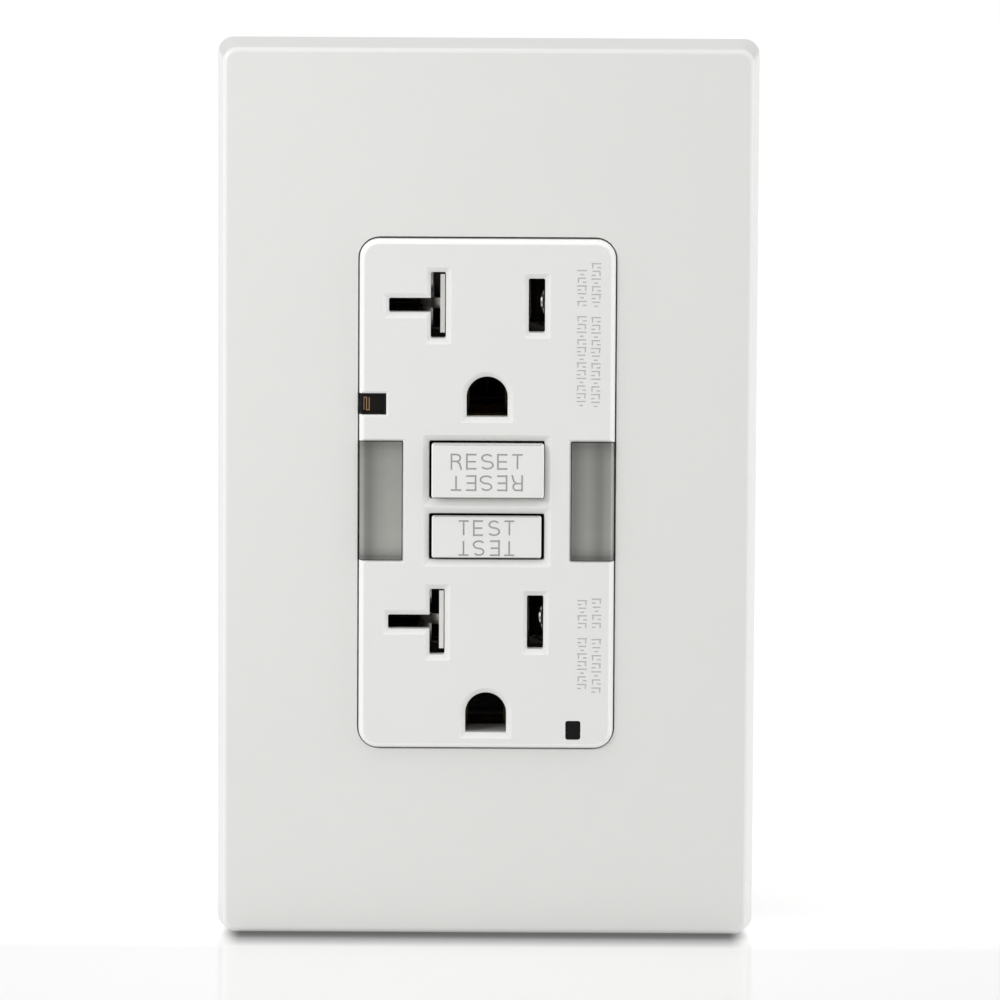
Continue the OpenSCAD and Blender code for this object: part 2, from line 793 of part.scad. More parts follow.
module thyristor() {
    color("black") {
        difference() {
            rod_y(2.4, 15.8, 20, -8.5, -5);
            block(-12, -5, 15, 21, -9, -6.4);
        }
        for (i = [-1:1]) block(-8.7 + 1.27 * i, -8.3 + 1.27 * i, 19.9, board_y, -5.2, -4.8);
    }
}

module resistors() {
    color("tan") for (i = [0:3]) {
        rod_z(0.9, -8, -3, 8.6, 20.5 - 2.1 * i);
        rod_z(0.25, -9.4, -1.6, 8.6, 20.5 - 2.1 * i);
        for (z = [-9.6, -1.8]) block(8.35, 8.85, 20.4 - 2.1 * i, board_y, z, z + 0.4);
    }
}

// ---- lights and light sensor ----

module guide_light_lens() {
    intersection() {
        nose_shape(0.04);
        block(lens_x + 0.08, 17, face_y, -2.3, lens_z0 + 0.08, lens_z1 - 0.08);
        union() {
            block(10, 17, face_y - 1, -5.7, -10, 10);
            block(14.9, 17, face_y - 1, 0, -10, 10);
        }
    }
    block(10.2, 14.6, face_y + cover_wall + 0.02, -4.7, lens_z0 - 0.6, lens_z1 + 0.6);
    block(lens_x + 0.08, 14.95, -5.75, -5, lens_z0 + 0.08, lens_z1 - 0.08);
}

module guide_light_lenses() {
    color("silver") both_x() guide_light_lens();
}

module guide_light_boards() {
    color("white") both_x() block(9.6, 18.6, 0.8, 1.8, -8, 3.4);
}

module light_emitters() {
    color("lemonchiffon") {
        both_x() for (z = [-6.4, -2.4, 1.6]) block(11.4, 14.2, -0.2, 0.8, z - 0.8, z + 0.8);
        block(10.5, 12.1, 2.3, separator_front, -31.6, -29.9);
    }
}

module photocell() {
    color("dimgray") {
        block(-16.3, -13.12, face_y + 0.35, -3.5, 10.47, 13.06);
        for (z = [11.1, 12.4]) rod_y(0.25, -3.6, separator_front, -14.2, z);
    }
}

module indicator_light_pipe() {
    color("black") {
        slab(1.75, 2.3, face_y + 0.2, -5.5, 0.25, 11.315, -30.785);
        slab(1.75, 1.6, -5.55, 2, 0.25, 11.315, -30.45);
        slab(3.4, 2.6, -5.55, -4.6, 0.4, 11.315, -30);
    }
}

wall_plate();
sub_plate();
sub_plate_screws();
mounting_strap();
mounting_screws();
screw_retainers();
ground_contacts();
ground_rivets();
ground_screw();
ground_clamp();
face_cover();
separator();
rear_housing();
housing_screws();
reset_button();
reset_pin();
reset_spring();
test_button();
test_leaf();
test_contact();
latch_block();
latch_plate();
latch_spring();
solenoid_bobbin();
solenoid_coil();
solenoid_frame();
solenoid_plunger();
plunger_spring();
circuit_board();
line_leads();
line_hot_arm();
line_neutral_arm();
hot_contact_bus();
neutral_contact_bus();
fixed_contact_tips();
transformer_cores();
transformer_windings();
transformer_housing();
line_hot_terminal();
line_neutral_terminal();
load_hot_clamp();
load_neutral_clamp();
line_hot_clamp();
line_neutral_clamp();
load_hot_screw();
load_neutral_screw();
line_hot_screw();
line_neutral_screw();
varistor();
film_capacitor();
electrolytic_capacitor();
control_chip();
thyristor();
resistors();
guide_light_lenses();
guide_light_boards();
light_emitters();
photocell();
indicator_light_pipe();
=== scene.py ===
import json
import math

import bmesh
import bpy
from mathutils import Matrix, Vector


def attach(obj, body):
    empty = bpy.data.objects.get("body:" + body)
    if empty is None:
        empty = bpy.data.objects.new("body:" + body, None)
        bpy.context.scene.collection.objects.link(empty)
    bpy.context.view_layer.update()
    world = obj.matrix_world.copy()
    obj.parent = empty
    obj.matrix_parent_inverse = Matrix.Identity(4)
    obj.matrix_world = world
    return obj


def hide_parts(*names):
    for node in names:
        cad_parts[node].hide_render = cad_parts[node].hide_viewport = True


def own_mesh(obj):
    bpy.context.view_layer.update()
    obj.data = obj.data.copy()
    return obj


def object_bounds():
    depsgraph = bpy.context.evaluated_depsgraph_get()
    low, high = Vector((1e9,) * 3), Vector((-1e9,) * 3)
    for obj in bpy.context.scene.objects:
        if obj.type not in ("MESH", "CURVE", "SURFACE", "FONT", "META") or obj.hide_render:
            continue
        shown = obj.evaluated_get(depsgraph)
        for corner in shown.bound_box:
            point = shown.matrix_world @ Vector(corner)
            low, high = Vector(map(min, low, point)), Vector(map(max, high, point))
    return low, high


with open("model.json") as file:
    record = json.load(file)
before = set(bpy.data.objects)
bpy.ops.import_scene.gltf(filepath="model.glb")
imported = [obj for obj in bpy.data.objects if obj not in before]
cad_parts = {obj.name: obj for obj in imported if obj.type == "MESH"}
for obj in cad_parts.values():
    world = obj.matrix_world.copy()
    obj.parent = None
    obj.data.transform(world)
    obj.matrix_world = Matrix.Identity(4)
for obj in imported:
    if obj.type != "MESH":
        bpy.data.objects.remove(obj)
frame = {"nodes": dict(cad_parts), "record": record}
cad_low, cad_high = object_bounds()
cad_nodes = frame["nodes"]
record = frame["record"]
body_of = {n: b for b, names in record["behaviour"]["bodies"].items() for n in names}
slot_of = {s["node"]: s["material_slot"] for s in record["subparts"]}

# Meshes are made in millimetres, in the CAD frame, and become metres in piece().
MM = 0.001
AXES = {
    "x": Matrix.Rotation(math.radians(90), 4, "Y"),
    "-x": Matrix.Rotation(math.radians(-90), 4, "Y"),
    "y": Matrix.Rotation(math.radians(-90), 4, "X"),
    "-y": Matrix.Rotation(math.radians(90), 4, "X"),
    "z": Matrix.Identity(4),
    "-z": Matrix.Rotation(math.radians(180), 4, "X"),
}


# ---- mesh helpers ----


def clean(bm, merge=0.0005):
    bmesh.ops.remove_doubles(bm, verts=bm.verts, dist=merge)
    bmesh.ops.dissolve_degenerate(bm, edges=bm.edges, dist=merge)
    bmesh.ops.recalc_face_normals(bm, faces=bm.faces)


def to_mesh(bm):
    mesh = bpy.data.meshes.new("work")
    bm.to_mesh(mesh)
    bm.free()
    return mesh


def from_data(verts, faces, merge=0.0005):
    mesh = bpy.data.meshes.new("work")
    mesh.from_pydata(verts, [], faces)
    bm = bmesh.new()
    bm.from_mesh(mesh)
    clean(bm, merge)
    return to_mesh(bm)


def joined(meshes, weld=False):
    """One mesh from several; weld closes the seams where they meet."""
    bm = bmesh.new()
    for mesh in meshes:
        bm.from_mesh(mesh)
    if weld:
        clean(bm)
    return to_mesh(bm)


def placed(mesh, axis="z", x=0, y=0, z=0):
    mesh.transform(Matrix.Translation((x, y, z)) @ AXES[axis])
    return mesh


def rounded(w, h, r, y, x=0, z=0, steps=6):
    """The corners of a rounded rectangle that faces the viewer at depth y."""
    points = []
    for sx, sz, start in ((1, 1, 0), (-1, 1, 90), (-1, -1, 180), (1, -1, 270)):
        for i in range(steps + 1):
            a = math.radians(start + 90 * i / steps)
            right = x + sx * (w / 2 - r) + r * math.cos(a)
            points.append((right, y, z + sz * (h / 2 - r) + r * math.sin(a)))
    return points


def loft(loops, ring=False):
    """A closed solid through loops of equal length; ring joins the last loop to the first."""
    n = len(loops[0])
    verts = [p for loop in loops for p in loop]
    faces = []
    spans = len(loops) if ring else len(loops) - 1
    for k in range(spans):
        a, b = k * n, (k + 1) % len(loops) * n
        faces += [(a + i, a + (i + 1) % n, b + (i + 1) % n, b + i) for i in range(n)]
    if not ring:
        faces += [tuple(range(n)), tuple(range(len(verts) - n, len(verts)))]
    return from_data(verts, faces)


def box(x0, x1, y0, y1, z0, z1):
    loops = [[(x0, y, z0), (x1, y, z0), (x1, y, z1), (x0, y, z1)] for y in (y0, y1)]
    return loft(loops)


def slab(w, h, y0, y1, r, x=0, z=0, steps=6):
    return loft([rounded(w, h, r, y, x, z, steps) for y in (y0, y1)])


def lathe(profile, around=40, open_ends=False):
    """A turned solid about Z from (radius, height) points. Points on the axis close it."""
    verts, faces = [], []
    for r, z in profile:
        angles = [2 * math.pi * i / around for i in range(around)]
        verts += [(r * math.cos(a), r * math.sin(a), z) for a in angles]
    for k in range(len(profile) - 1):
        a, b = k * around, (k + 1) * around
        faces += [(a + i, a + (i + 1) % around, b + (i + 1) % around, b + i) for i in range(around)]
    if not open_ends:
        ends = [k for k in (0, len(profile) - 1) if profile[k][0] > 0.001]
        faces += [tuple(range(k * around, (k + 1) * around)) for k in ends]
    return from_data(verts, faces)


def arc(cx, cy, r, start, stop, steps=5):
    """Points on a circle in a profile, from one angle to another in degrees."""
    angles = [math.radians(start + (stop - start) * i / steps) for i in range(steps + 1)]
    return [(cx + r * math.cos(a), cy + r * math.sin(a)) for a in angles]


def thread(root, crest, pitch, z0, z1, around=28, per=6):
    """The open wall of a screw thread along Z. It fades to the root radius at both ends."""
    rows = int((z1 - z0) / pitch * per) + 2 * per
    verts, faces = [], []
    for i in range(around):
        a = 2 * math.pi * i / around
        for m in range(-per, rows + 1):
            z = min(max(z0 + (m / per + i / around) * pitch, z0), z1)
            ends = max(0.0, min(1.0, (z - z0) / pitch, (z1 - z) / pitch))
            ridge = 1 - abs(2 * (m % per) / per - 1)
            r = root + (crest - root) * min(1.0, ridge * 1.3) * ends
            verts.append((r * math.cos(a), r * math.sin(a), z))
    count = rows + per + 1
    for i in range(around):
        a = i * count
        shift = per if i == around - 1 else 0
        b = (i + 1) % around * count + shift
        faces += [(a + k, a + k + 1, b + k + 1, b + k) for k in range(count - 1 - shift)]
    return from_data(verts, faces)


def tube(path, r, sides=10):
    """Round wire along a path, with closed ends."""
    pts = [Vector(p) for p in path]
    verts, faces = [], []
    up = Vector((0.31, 0.87, 0.41)).normalized()
    for k, p in enumerate(pts):
        ahead = (pts[min(k + 1, len(pts) - 1)] - pts[max(k - 1, 0)]).normalized()
        up = (up - ahead * up.dot(ahead)).normalized()
        side = ahead.cross(up)
        for j in range(sides):
            a = 2 * math.pi * j / sides
            verts.append(tuple(p + r * (math.cos(a) * up + math.sin(a) * side)))
    for k in range(len(pts) - 1):
        a, b = k * sides, (k + 1) * sides
        faces += [(a + j, a + (j + 1) % sides, b + (j + 1) % sides, b + j) for j in range(sides)]
    faces += [tuple(range(sides)), tuple(range(len(verts) - sides, len(verts)))]
    return from_data(verts, faces, 0.0001)


def helix(radius, wire_r, length, turns, closed_turns=0.8, per=26):
    """A compression spring along Z whose end turns lie flat."""
    end = closed_turns * 2.05 * wire_r
    open_length = length - 2 * wire_r - 2 * end
    path = []
    for i in range(int(turns * per) + 1):
        t = i / per
        if t < closed_turns:
            z = end * t / closed_turns
        elif t > turns - closed_turns:
            z = length - 2 * wire_r - end * (turns - t) / closed_turns
        else:
            z = end + open_length * (t - closed_turns) / (turns - 2 * closed_turns)
        a = 2 * math.pi * t
        path.append((radius * math.cos(a), radius * math.sin(a), wire_r + z))
    return tube(path, wire_r)


def boolean(mesh, tools, operation="DIFFERENCE"):
    """mesh with the tools cut away, added or kept in common, by the exact solver."""
    base = bpy.data.objects.new("base", mesh)
    tool = bpy.data.objects.new("tool", joined(tools))
    for o in (base, tool):
        bpy.context.scene.collection.objects.link(o)
    m = base.modifiers.new("cut", "BOOLEAN")
    m.operation, m.solver, m.object, m.use_self = operation, "EXACT", tool, len(tools) > 1
    bpy.context.view_layer.update()
    graph = bpy.context.evaluated_depsgraph_get()
    made = bpy.data.meshes.new_from_object(base.evaluated_get(graph))
    for o in (base, tool):
        bpy.data.objects.remove(o)
    bm = bmesh.new()
    bm.from_mesh(made)
    bmesh.ops.remove_doubles(bm, verts=bm.verts, dist=0.0005)
    bmesh.ops.dissolve_limit(bm, angle_limit=math.radians(0.4), verts=bm.verts, edges=bm.edges)
    return to_mesh(bm)


def soften(mesh, width, segments=2, angle=28, keep=None):
    """Rounds the sharp edges of a mesh; keep says which edges by their two ends."""
    bm = bmesh.new()
    bm.from_mesh(mesh)
    edges = [
        e
        for e in bm.edges
        if len(e.link_faces) == 2
        and e.calc_face_angle(0) > math.radians(angle)
        and (keep is None or keep(e.verts[0].co, e.verts[1].co))
    ]
    bmesh.ops.bevel(
        bm,
        geom=edges,
        offset=width,
        offset_type="OFFSET",
        segments=segments,
        profile=0.5,
        affect="EDGES",
        clamp_overlap=True,
    )
    bmesh.ops.remove_doubles(bm, verts=bm.verts, dist=0.0002)
    return to_mesh(bm)


def cad_mesh(node):
    """The CAD node's mesh in millimetres, welded, with its flat faces whole again."""
    mesh = cad_nodes[node].data
    bm = bmesh.new()
    verts = [bm.verts.new(v.co * 1000) for v in mesh.vertices]
    for p in mesh.polygons:
        bm.faces.new([verts[i] for i in p.vertices])
    bmesh.ops.remove_doubles(bm, verts=bm.verts, dist=0.002)
    bmesh.ops.dissolve_degenerate(bm, edges=bm.edges, dist=0.0005)
    bmesh.ops.dissolve_limit(bm, angle_limit=math.radians(0.5), verts=bm.verts, edges=bm.edges)
    return to_mesh(bm)


def ribbon(points, width):
    """The outline of a stroke of even width through 2-D points."""
    pts = [Vector(p) for p in points]
    left, right = [], []
    for k, p in enumerate(pts):
        before = (p - pts[k - 1]).normalized() if k else (pts[1] - p).normalized()
        after = (pts[k + 1] - p).normalized() if k < len(pts) - 1 else before
        mean = (before + after).normalized()
        normal = Vector((-mean.y, mean.x)) * (width / 2 / max(0.3, mean.dot(before)))
        left.append(p + normal)
        right.append(p - normal)
    return left + right[::-1]


def stamp(outline, y0, y1):
    """A prism of a 2-D outline in X and Z between two depths."""
    return loft([[(p[0], y, p[1]) for p in outline] for y in (y0, y1)])


# ---- materials ----


def noise(tree, vector, scale, detail=3.0, roughness=0.55):
    n = tree.nodes.new("ShaderNodeTexNoise")
    n.inputs["Scale"].default_value = scale
    n.inputs["Detail"].default_value = detail
    n.inputs["Roughness"].default_value = roughness
    tree.links.new(vector, n.inputs["Vector"])
    return n.outputs["Fac"]


def spread(tree, value, low, high, start=0.3, stop=0.7):
    n = tree.nodes.new("ShaderNodeMapRange")
    for name, v in (("From Min", start), ("From Max", stop), ("To Min", low), ("To Max", high)):
        n.inputs[name].default_value = v
    tree.links.new(value, n.inputs["Value"])
    return n.outputs["Result"]


def mixed(tree, factor, a, b):
    """A colour between a and b, each a colour or a socket."""
    n = tree.nodes.new("ShaderNodeMix")
    n.data_type = "RGBA"
    if isinstance(factor, float):
        n.inputs[0].default_value = factor
    else:
        tree.links.new(factor, n.inputs[0])
    for socket, v in ((n.inputs[6], a), (n.inputs[7], b)):
        if isinstance(v, tuple):
            socket.default_value = (*v, 1)
        else:
            tree.links.new(v, socket)
    return n.outputs[2]


def scaled(colour, k):
    return tuple(min(1.0, c * k) for c in colour)


def finish_of(
    name,
    colour,
    rough,
    metallic=0.0,
    tint=0.04,
    cloud=70,
    grain=2600,
    bump=0.01,
    stretch=(1, 1, 1),
    ior=1.5,
    coat=0.0,
    vary=0.15,
):
    """A material whose colour, roughness and surface vary over the part. bump is in millimetres."""
    material = bpy.data.materials.new(name)
    material.use_nodes = True
    tree = material.node_tree
    shader = tree.nodes["Principled BSDF"]
    coords = tree.nodes.new("ShaderNodeTexCoord").outputs["Object"]
    mapping = tree.nodes.new("ShaderNodeMapping")
    mapping.inputs["Scale"].default_value = stretch
    tree.links.new(coords, mapping.inputs["Vector"])
    patches = noise(tree, coords, cloud)
    fine = noise(tree, mapping.outputs["Vector"], grain, 4.0)
    dark, light = scaled(colour, 1 - tint), scaled(colour, 1 + tint)
    shade = mixed(tree, spread(tree, patches, 0.0, 1.0), dark, light)
    shade = mixed(tree, spread(tree, fine, 0.0, tint * 2.5), shade, scaled(colour, 0.72))
    tree.links.new(shade, shader.inputs["Base Color"])
    gloss = spread(tree, fine, rough * (1 - vary), rough * (1 + vary))
    tree.links.new(gloss, shader.inputs["Roughness"])
    relief = tree.nodes.new("ShaderNodeBump")
    relief.inputs["Strength"].default_value = 1.0
    relief.inputs["Distance"].default_value = bump * MM
    tree.links.new(fine, relief.inputs["Height"])
    tree.links.new(relief.outputs["Normal"], shader.inputs["Normal"])
    shader.inputs["Metallic"].default_value = metallic
    shader.inputs["IOR"].default_value = ior
    shader.inputs["Coat Weight"].default_value = coat
    shader.inputs["Coat Roughness"].default_value = 0.12
    return material


def separate(tree):
    """The object's own X, Y and Z as sockets."""
    n = tree.nodes.new("ShaderNodeSeparateXYZ")
    tree.links.new(tree.nodes.new("ShaderNodeTexCoord").outputs["Object"], n.inputs["Vector"])
    return n.outputs


def math_node(tree, operation, a, b=0.0):
    n = tree.nodes.new("ShaderNodeMath")
    n.operation = operation
    for socket, v in ((n.inputs[0], a), (n.inputs[1], b)):
        if isinstance(v, (int, float)):
            socket.default_value = v
        else:
            tree.links.new(v, socket)
    return n.outputs[0]


def repaint(material, factor_of, colour):
    """Lays another colour over a material where factor_of(tree) is high."""
    tree = material.node_tree
    base = tree.nodes["Principled BSDF"].inputs["Base Color"]
    under = base.links[0].from_socket
    tree.links.new(mixed(tree, factor_of(tree), under, colour), base)
    return material


METAL = {"metallic": 1.0, "tint": 0.08, "cloud": 160}
STEEL = {**METAL, "stretch": (1, 1, 0.08), "grain": 3800, "bump": 0.004}
ZINC = {**METAL, "cloud": 420, "tint": 0.13}
PLATED = {**METAL, "tint": 0.03, "grain": 900, "bump": 0.0006}
# Moulded white plastic: almost even, so that no grain shows in its gloss.
WHITE = {"tint": 0.004, "grain": 300, "bump": 0.0004, "vary": 0.015}
DARK_LENS = {"tint": 0.2, "grain": 900, "bump": 0.002, "ior": 1.25}
# By material slot: colour, roughness, and what differs from finish_of's own values.
FINISHES = {
    "plate_plastic": ((0.775, 0.775, 0.755), 0.3, WHITE),
    "sub_plate_plastic": ((0.72, 0.72, 0.7), 0.45, {"tint": 0.02, "bump": 0.008}),
    "face_plastic": ((0.8, 0.8, 0.782), 0.3, WHITE),
    "button_plastic": ((0.815, 0.815, 0.8), 0.32, WHITE),
    "lens_plastic": ((0.36, 0.365, 0.335), 0.16, {"grain": 900, "bump": 0.004, "coat": 0.4}),
    "dark_lens_plastic": ((0.006, 0.006, 0.007), 0.25, DARK_LENS),
    "sensor_ceramic": ((0.01, 0.009, 0.008), 0.5, {"tint": 0.1, "grain": 3000, "ior": 1.2}),
    "housing_plastic": ((0.6, 0.6, 0.575), 0.5, {"tint": 0.03, "grain": 2200, "bump": 0.012}),
    "inner_plastic": ((0.035, 0.035, 0.038), 0.55, {"tint": 0.1, "bump": 0.012}),
    "zinc_steel": ((0.6, 0.6, 0.575), 0.34, ZINC),
    "white_screws": ((0.78, 0.78, 0.765), 0.28, {"tint": 0.03, "grain": 1600, "coat": 0.3}),
    "fibre": (
        (0.42, 0.28, 0.15),
        0.75,
        {"tint": 0.16, "grain": 1800, "bump": 0.03, "stretch": (1, 1, 0.25)},
    ),
    "brass": ((0.5, 0.32, 0.13), 0.36, METAL),
    "nickel_brass": ((0.95, 0.935, 0.9), 0.15, PLATED),
    "green_screw": ((0.05, 0.3, 0.1), 0.32, {"metallic": 0.75, "tint": 0.12, "coat": 0.3}),
    "spring_steel": ((0.5, 0.5, 0.5), 0.24, METAL),
    "spring_bronze": ((0.7, 0.42, 0.22), 0.3, STEEL),
    "silver": ((0.82, 0.81, 0.78), 0.3, METAL),
    "iron": ((0.46, 0.46, 0.45), 0.32, STEEL),
    "moulded_parts": ((0.68, 0.63, 0.5), 0.5, {"tint": 0.05}),
    "copper_wire": ((0.62, 0.23, 0.09), 0.26, {"metallic": 0.9, "tint": 0.1, "coat": 0.6}),
    "ferrite": ((0.045, 0.045, 0.05), 0.5, {"tint": 0.2, "grain": 4200, "bump": 0.02}),
    "black_plastic": ((0.018, 0.018, 0.019), 0.5, {"tint": 0.15, "bump": 0.012}),
    "board": ((0.02, 0.15, 0.055), 0.34, {"tint": 0.1, "grain": 1500, "bump": 0.008, "coat": 0.4}),
    "light_board": ((0.74, 0.74, 0.71), 0.4, {"tint": 0.03, "bump": 0.006}),
    "emitter": ((0.8, 0.72, 0.3), 0.35, {"tint": 0.1, "coat": 0.5}),
    "varistor_blue": (
        (0.05, 0.14, 0.36),
        0.35,
        {"tint": 0.1, "grain": 900, "bump": 0.02, "coat": 0.3},
    ),
    "film_yellow": ((0.72, 0.5, 0.08), 0.4, {"tint": 0.05, "bump": 0.008}),
    "capacitor_sleeve": ((0.02, 0.025, 0.09), 0.28, {"tint": 0.1, "coat": 0.4}),
    "resistor_body": ((0.55, 0.42, 0.26), 0.4, {"tint": 0.06, "coat": 0.4}),
}
MATERIALS = {slot: finish_of(slot, *look[:2], **look[2]) for slot, look in FINISHES.items()}
# Painted highlight: a lighter white laid on rounded edges and key rims, where light catches them.
PAINTED_HIGHLIGHT = finish_of("painted_edge_highlight", (0.93, 0.93, 0.915), 0.24, **WHITE)
# Painted light: a lighter white for bevels and rounded edges that don't face up.
PAINTED_BEVEL_LIGHT = finish_of("painted_bevel_light", (0.845, 0.845, 0.83), 0.26, **WHITE)
# Painted shade: grey for the floors of the engraved letters, where shade would lie in the grooves.
PAINTED_GROOVE_SHADE = finish_of("painted_groove_shade", (0.47, 0.475, 0.455), 0.55, tint=0.05, grain=1800, bump=0.004)
# Painted shade: near-black for the parts of the keys deep in the gap round them.
PAINTED_GAP_SHADE = finish_of("painted_gap_shade", (0.01, 0.01, 0.01), 0.6, tint=0.2, grain=1800, bump=0.004, ior=1.2)
# Painted shade: a pale grey for the floors and walls of the engraved ticks.
PAINTED_TICK_SHADE = finish_of("painted_tick_shade", (0.6, 0.6, 0.58), 0.5, tint=0.03, grain=900, bump=0.001)


# ---- pieces ----


# Places in a piece's list of finishes: the plain one, then those for parts of its surface, which carry
# painted light on bevels, painted highlights on edges and rims, and painted shade in ticks, letters and
# gaps.
PLAIN, LIT_BEVEL, BRIGHT, TICK = range(4)
LETTERS, GAP, RIM = 1, 2, 3


def sloping(p):
    """Whether a face leans away from the viewer, as a bevel or a rounded edge does."""
    return 0.12 < -p.normal.y < 0.985


def paint_edge_light(o, front, back, half_w=None, half_h=None):
    """Painted light on the sloping faces between two depths: a painted highlight on those outside a
    rectangle, and inside it a lighter colour on faces that don't face up.
    """
    for p in o.data.polygons:
        x, y, z = p.center / MM
        if front < y < back and sloping(p):
            outside = half_w is not None and (abs(x) > half_w or abs(z) > half_h)
            p.material_index = BRIGHT if outside else LIT_BEVEL if p.normal.z < 0.4 else PLAIN


def piece(name, mesh, stands_for, finishes=None, smooth=35, weighted=True):
    """A finished object from a mesh in millimetres, on the body of the nodes that it stands for."""
    slot = slot_of[stands_for[0]]
    mesh.transform(Matrix.Scale(MM, 4))
    mesh.name = name
    mesh.materials.clear()
    for m in finishes or [MATERIALS[slot]]:
        mesh.materials.append(m)
    mesh.polygons.foreach_set("use_smooth", [True] * len(mesh.polygons))
    mesh.set_sharp_from_angle(angle=math.radians(smooth))
    o = bpy.data.objects.new(name, mesh)
    bpy.context.scene.collection.objects.link(o)
    if weighted:
        m = o.modifiers.new("normals", "WEIGHTED_NORMAL")
        m.keep_sharp = True
    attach(o, body_of[stands_for[0]])
    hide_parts(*stands_for)
    return o


def refined(node, width=0.1):
    """A CAD node with its edges rounded."""
    return piece(node + "_part", soften(cad_mesh(node), width), [node])


# Wall plate: a lofted shell with a rounded front edge.
PLATE_W, PLATE_H, PLATE_FRONT = 69.85, 117.1, -6.6
OPEN_W, OPEN_H, OPEN_R = 33.3, 66.8, 2.8
PLATE_WALL = 1.8
PLATE_BACK = PLATE_FRONT + PLATE_WALL
CORNER_STEPS = 8


def plate_loops():
    """Loops from the back of the opening, over the front and the side wall, to the inside."""

    def opening(grow, y):
        return rounded(OPEN_W + 2 * grow, OPEN_H + 2 * grow, OPEN_R + grow, y, steps=CORNER_STEPS)

    def outer(inset, y, r):
        return rounded(PLATE_W - 2 * inset, PLATE_H - 2 * inset, r, y, steps=CORNER_STEPS)

    loops = [opening(0, PLATE_BACK), opening(0, PLATE_FRONT + 0.22)]
    loops += [opening(0.06, PLATE_FRONT + 0.06), opening(0.2, PLATE_FRONT), opening(1.5, PLATE_FRONT)]
    loops.append(outer(1.95, PLATE_FRONT, 1.1))
    # The front edge turns on a radius into the slanted side wall.
    edge_inset, edge_y, edge_r = 1.445, -5.9, 0.7
    for i in range(9):
        a = math.radians(90 - 10.3 * i)
        inset = edge_inset - edge_r * math.cos(a)
        loops.append(outer(inset, edge_y - edge_r * math.sin(a), 1.9 - 0.6 * math.sin(a)))
    wall = [(0.4, -3.3, 2), (0.01, -0.35, 2), (0, -0.22, 2), (0.04, -0.06, 1.96), (0.2, 0, 1.8)]
    loops += [outer(*ring) for ring in wall]
    loops += [outer(PLATE_WALL - 0.15, 0, 1.1), outer(PLATE_WALL, -0.15, 1)]
    loops.append(outer(PLATE_WALL, PLATE_BACK + 0.5, 1))
    loops.append(outer(PLATE_WALL + 0.15, PLATE_BACK + 0.15, 0.9))
    loops.append(outer(PLATE_WALL + 0.5, PLATE_BACK, 0.6))
    loops.append(opening(1, PLATE_BACK))
    return loops


def snap_hook(side, up):
    """A ramped hook with two ribs on the inside of the plate's side wall."""
    # Both outlines are (height off the wall, depth), and start and end a little inside it.
    wall = PLATE_W / 2 - PLATE_WALL
    hook = [(-0.2, -1.85), (-0.2, -0.55), (0.2, -0.55), (0.65, -1.0), (0.65, -1.7)]
    rib = [(-0.2, -5.6), (0.2, -5.6), (0.6, -4.4), (0.6, -1.7), (-0.2, -1.7)]
    solids = []
    for outline, z0, z1 in ((hook, 36, 44), (rib, 36, 36.8), (rib, 43.2, 44)):
        solids.append(loft([[(side * (wall - h), y, up * z) for h, y in outline] for z in (z0, z1)]))
    return solids


def wall_plate():
    mesh = loft(plate_loops(), ring=True)
    hooks = [m for side in (-1, 1) for up in (-1, 1) for m in snap_hook(side, up)]
    mesh = boolean(mesh, hooks, "UNION")
    # The pry notch in the bottom rim.
    outline = [(-6.5, -1.1), (-6.3, -1.3), (6.3, -1.3), (6.5, -1.1), (6.6, 1), (-6.6, 1)]
    notch = loft([[(x, y, z) for x, y in outline] for z in (-60, -55.5)])
    # The plate's rounded front edge is painted lighter, as a highlight, where it doesn't face up.
    finishes = [MATERIALS["plate_plastic"], PAINTED_BEVEL_LIGHT, PAINTED_BEVEL_LIGHT]
    o = piece("wall_plate_shell", boolean(mesh, [notch]), ["wall_plate"], finishes, smooth=40)
    paint_edge_light(o, PLATE_FRONT - 0.1, PLATE_FRONT + 0.62)


# Device face: nose, skirt and every opening.
FACE_Y = -7.6
NOSE_W, NOSE_H = 33.0, 66.4
SLOT_X = 6.35
ROWS = (24.6, -16.7)
GROUND_DROP, GROUND_R, GROUND_FLAT = 11.9, 2.65, 2.6
RESET_Z, TEST_Z = 3.2, -5.53
LENS_X, LENS_Z0, LENS_Z1 = 10.87, -8.63, 6.97
INDICATOR_X, INDICATOR_Z = 11.315, -30.785
BUTTON_BEVEL, SLOT_BEVEL = 0.85, 0.7
CASE_SCREWS = [(sx * 17, sz * 30.4) for sx in (-1, 1) for sz in (-1, 1)]


def nose(inset=0.0, back=-0.9):
    """The part of the face that fills the plate's opening, rounded at its front edge."""
    loops = [rounded(NOSE_W - 2 * inset, NOSE_H - 2 * inset, 2.5 - inset, back, steps=CORNER_STEPS)]
    for i in range(9):
        a = math.radians(11.25 * i)
        d = 0.8 * (1 - math.cos(a)) + inset
        y = FACE_Y + inset + 0.9 * (1 - math.sin(a))
        loops.append(rounded(NOSE_W - 2 * d, NOSE_H - 2 * d, 2.5 - d, y, steps=CORNER_STEPS))
    return loft(loops)


def mouth(w, h, bevel, x, z, r=0.22):
    """A cutter for a w by h opening with a bevelled mouth."""
    depths = [(bevel + 0.25, -0.25), (0.0, bevel), (0.0, 3.5)]
    return loft([rounded(w + 2 * d, h + 2 * d, r, FACE_Y + y, x, z, 3) for d, y in depths])


def ground_mouth(z):
    """The same for a ground hole: round above, straight sides and a flat floor."""
    loops = []
    for d, y in ((SLOT_BEVEL + 0.25, -0.25), (0.0, SLOT_BEVEL), (0.0, 3.5)):
        r = GROUND_R + d
        ends = [(-r, z - GROUND_FLAT - d), (r, z - GROUND_FLAT - d)]
        loops.append([(x, FACE_Y + y, up) for x, up in arc(0, z, r, 0, 180, 24) + ends])
    return loft(loops)


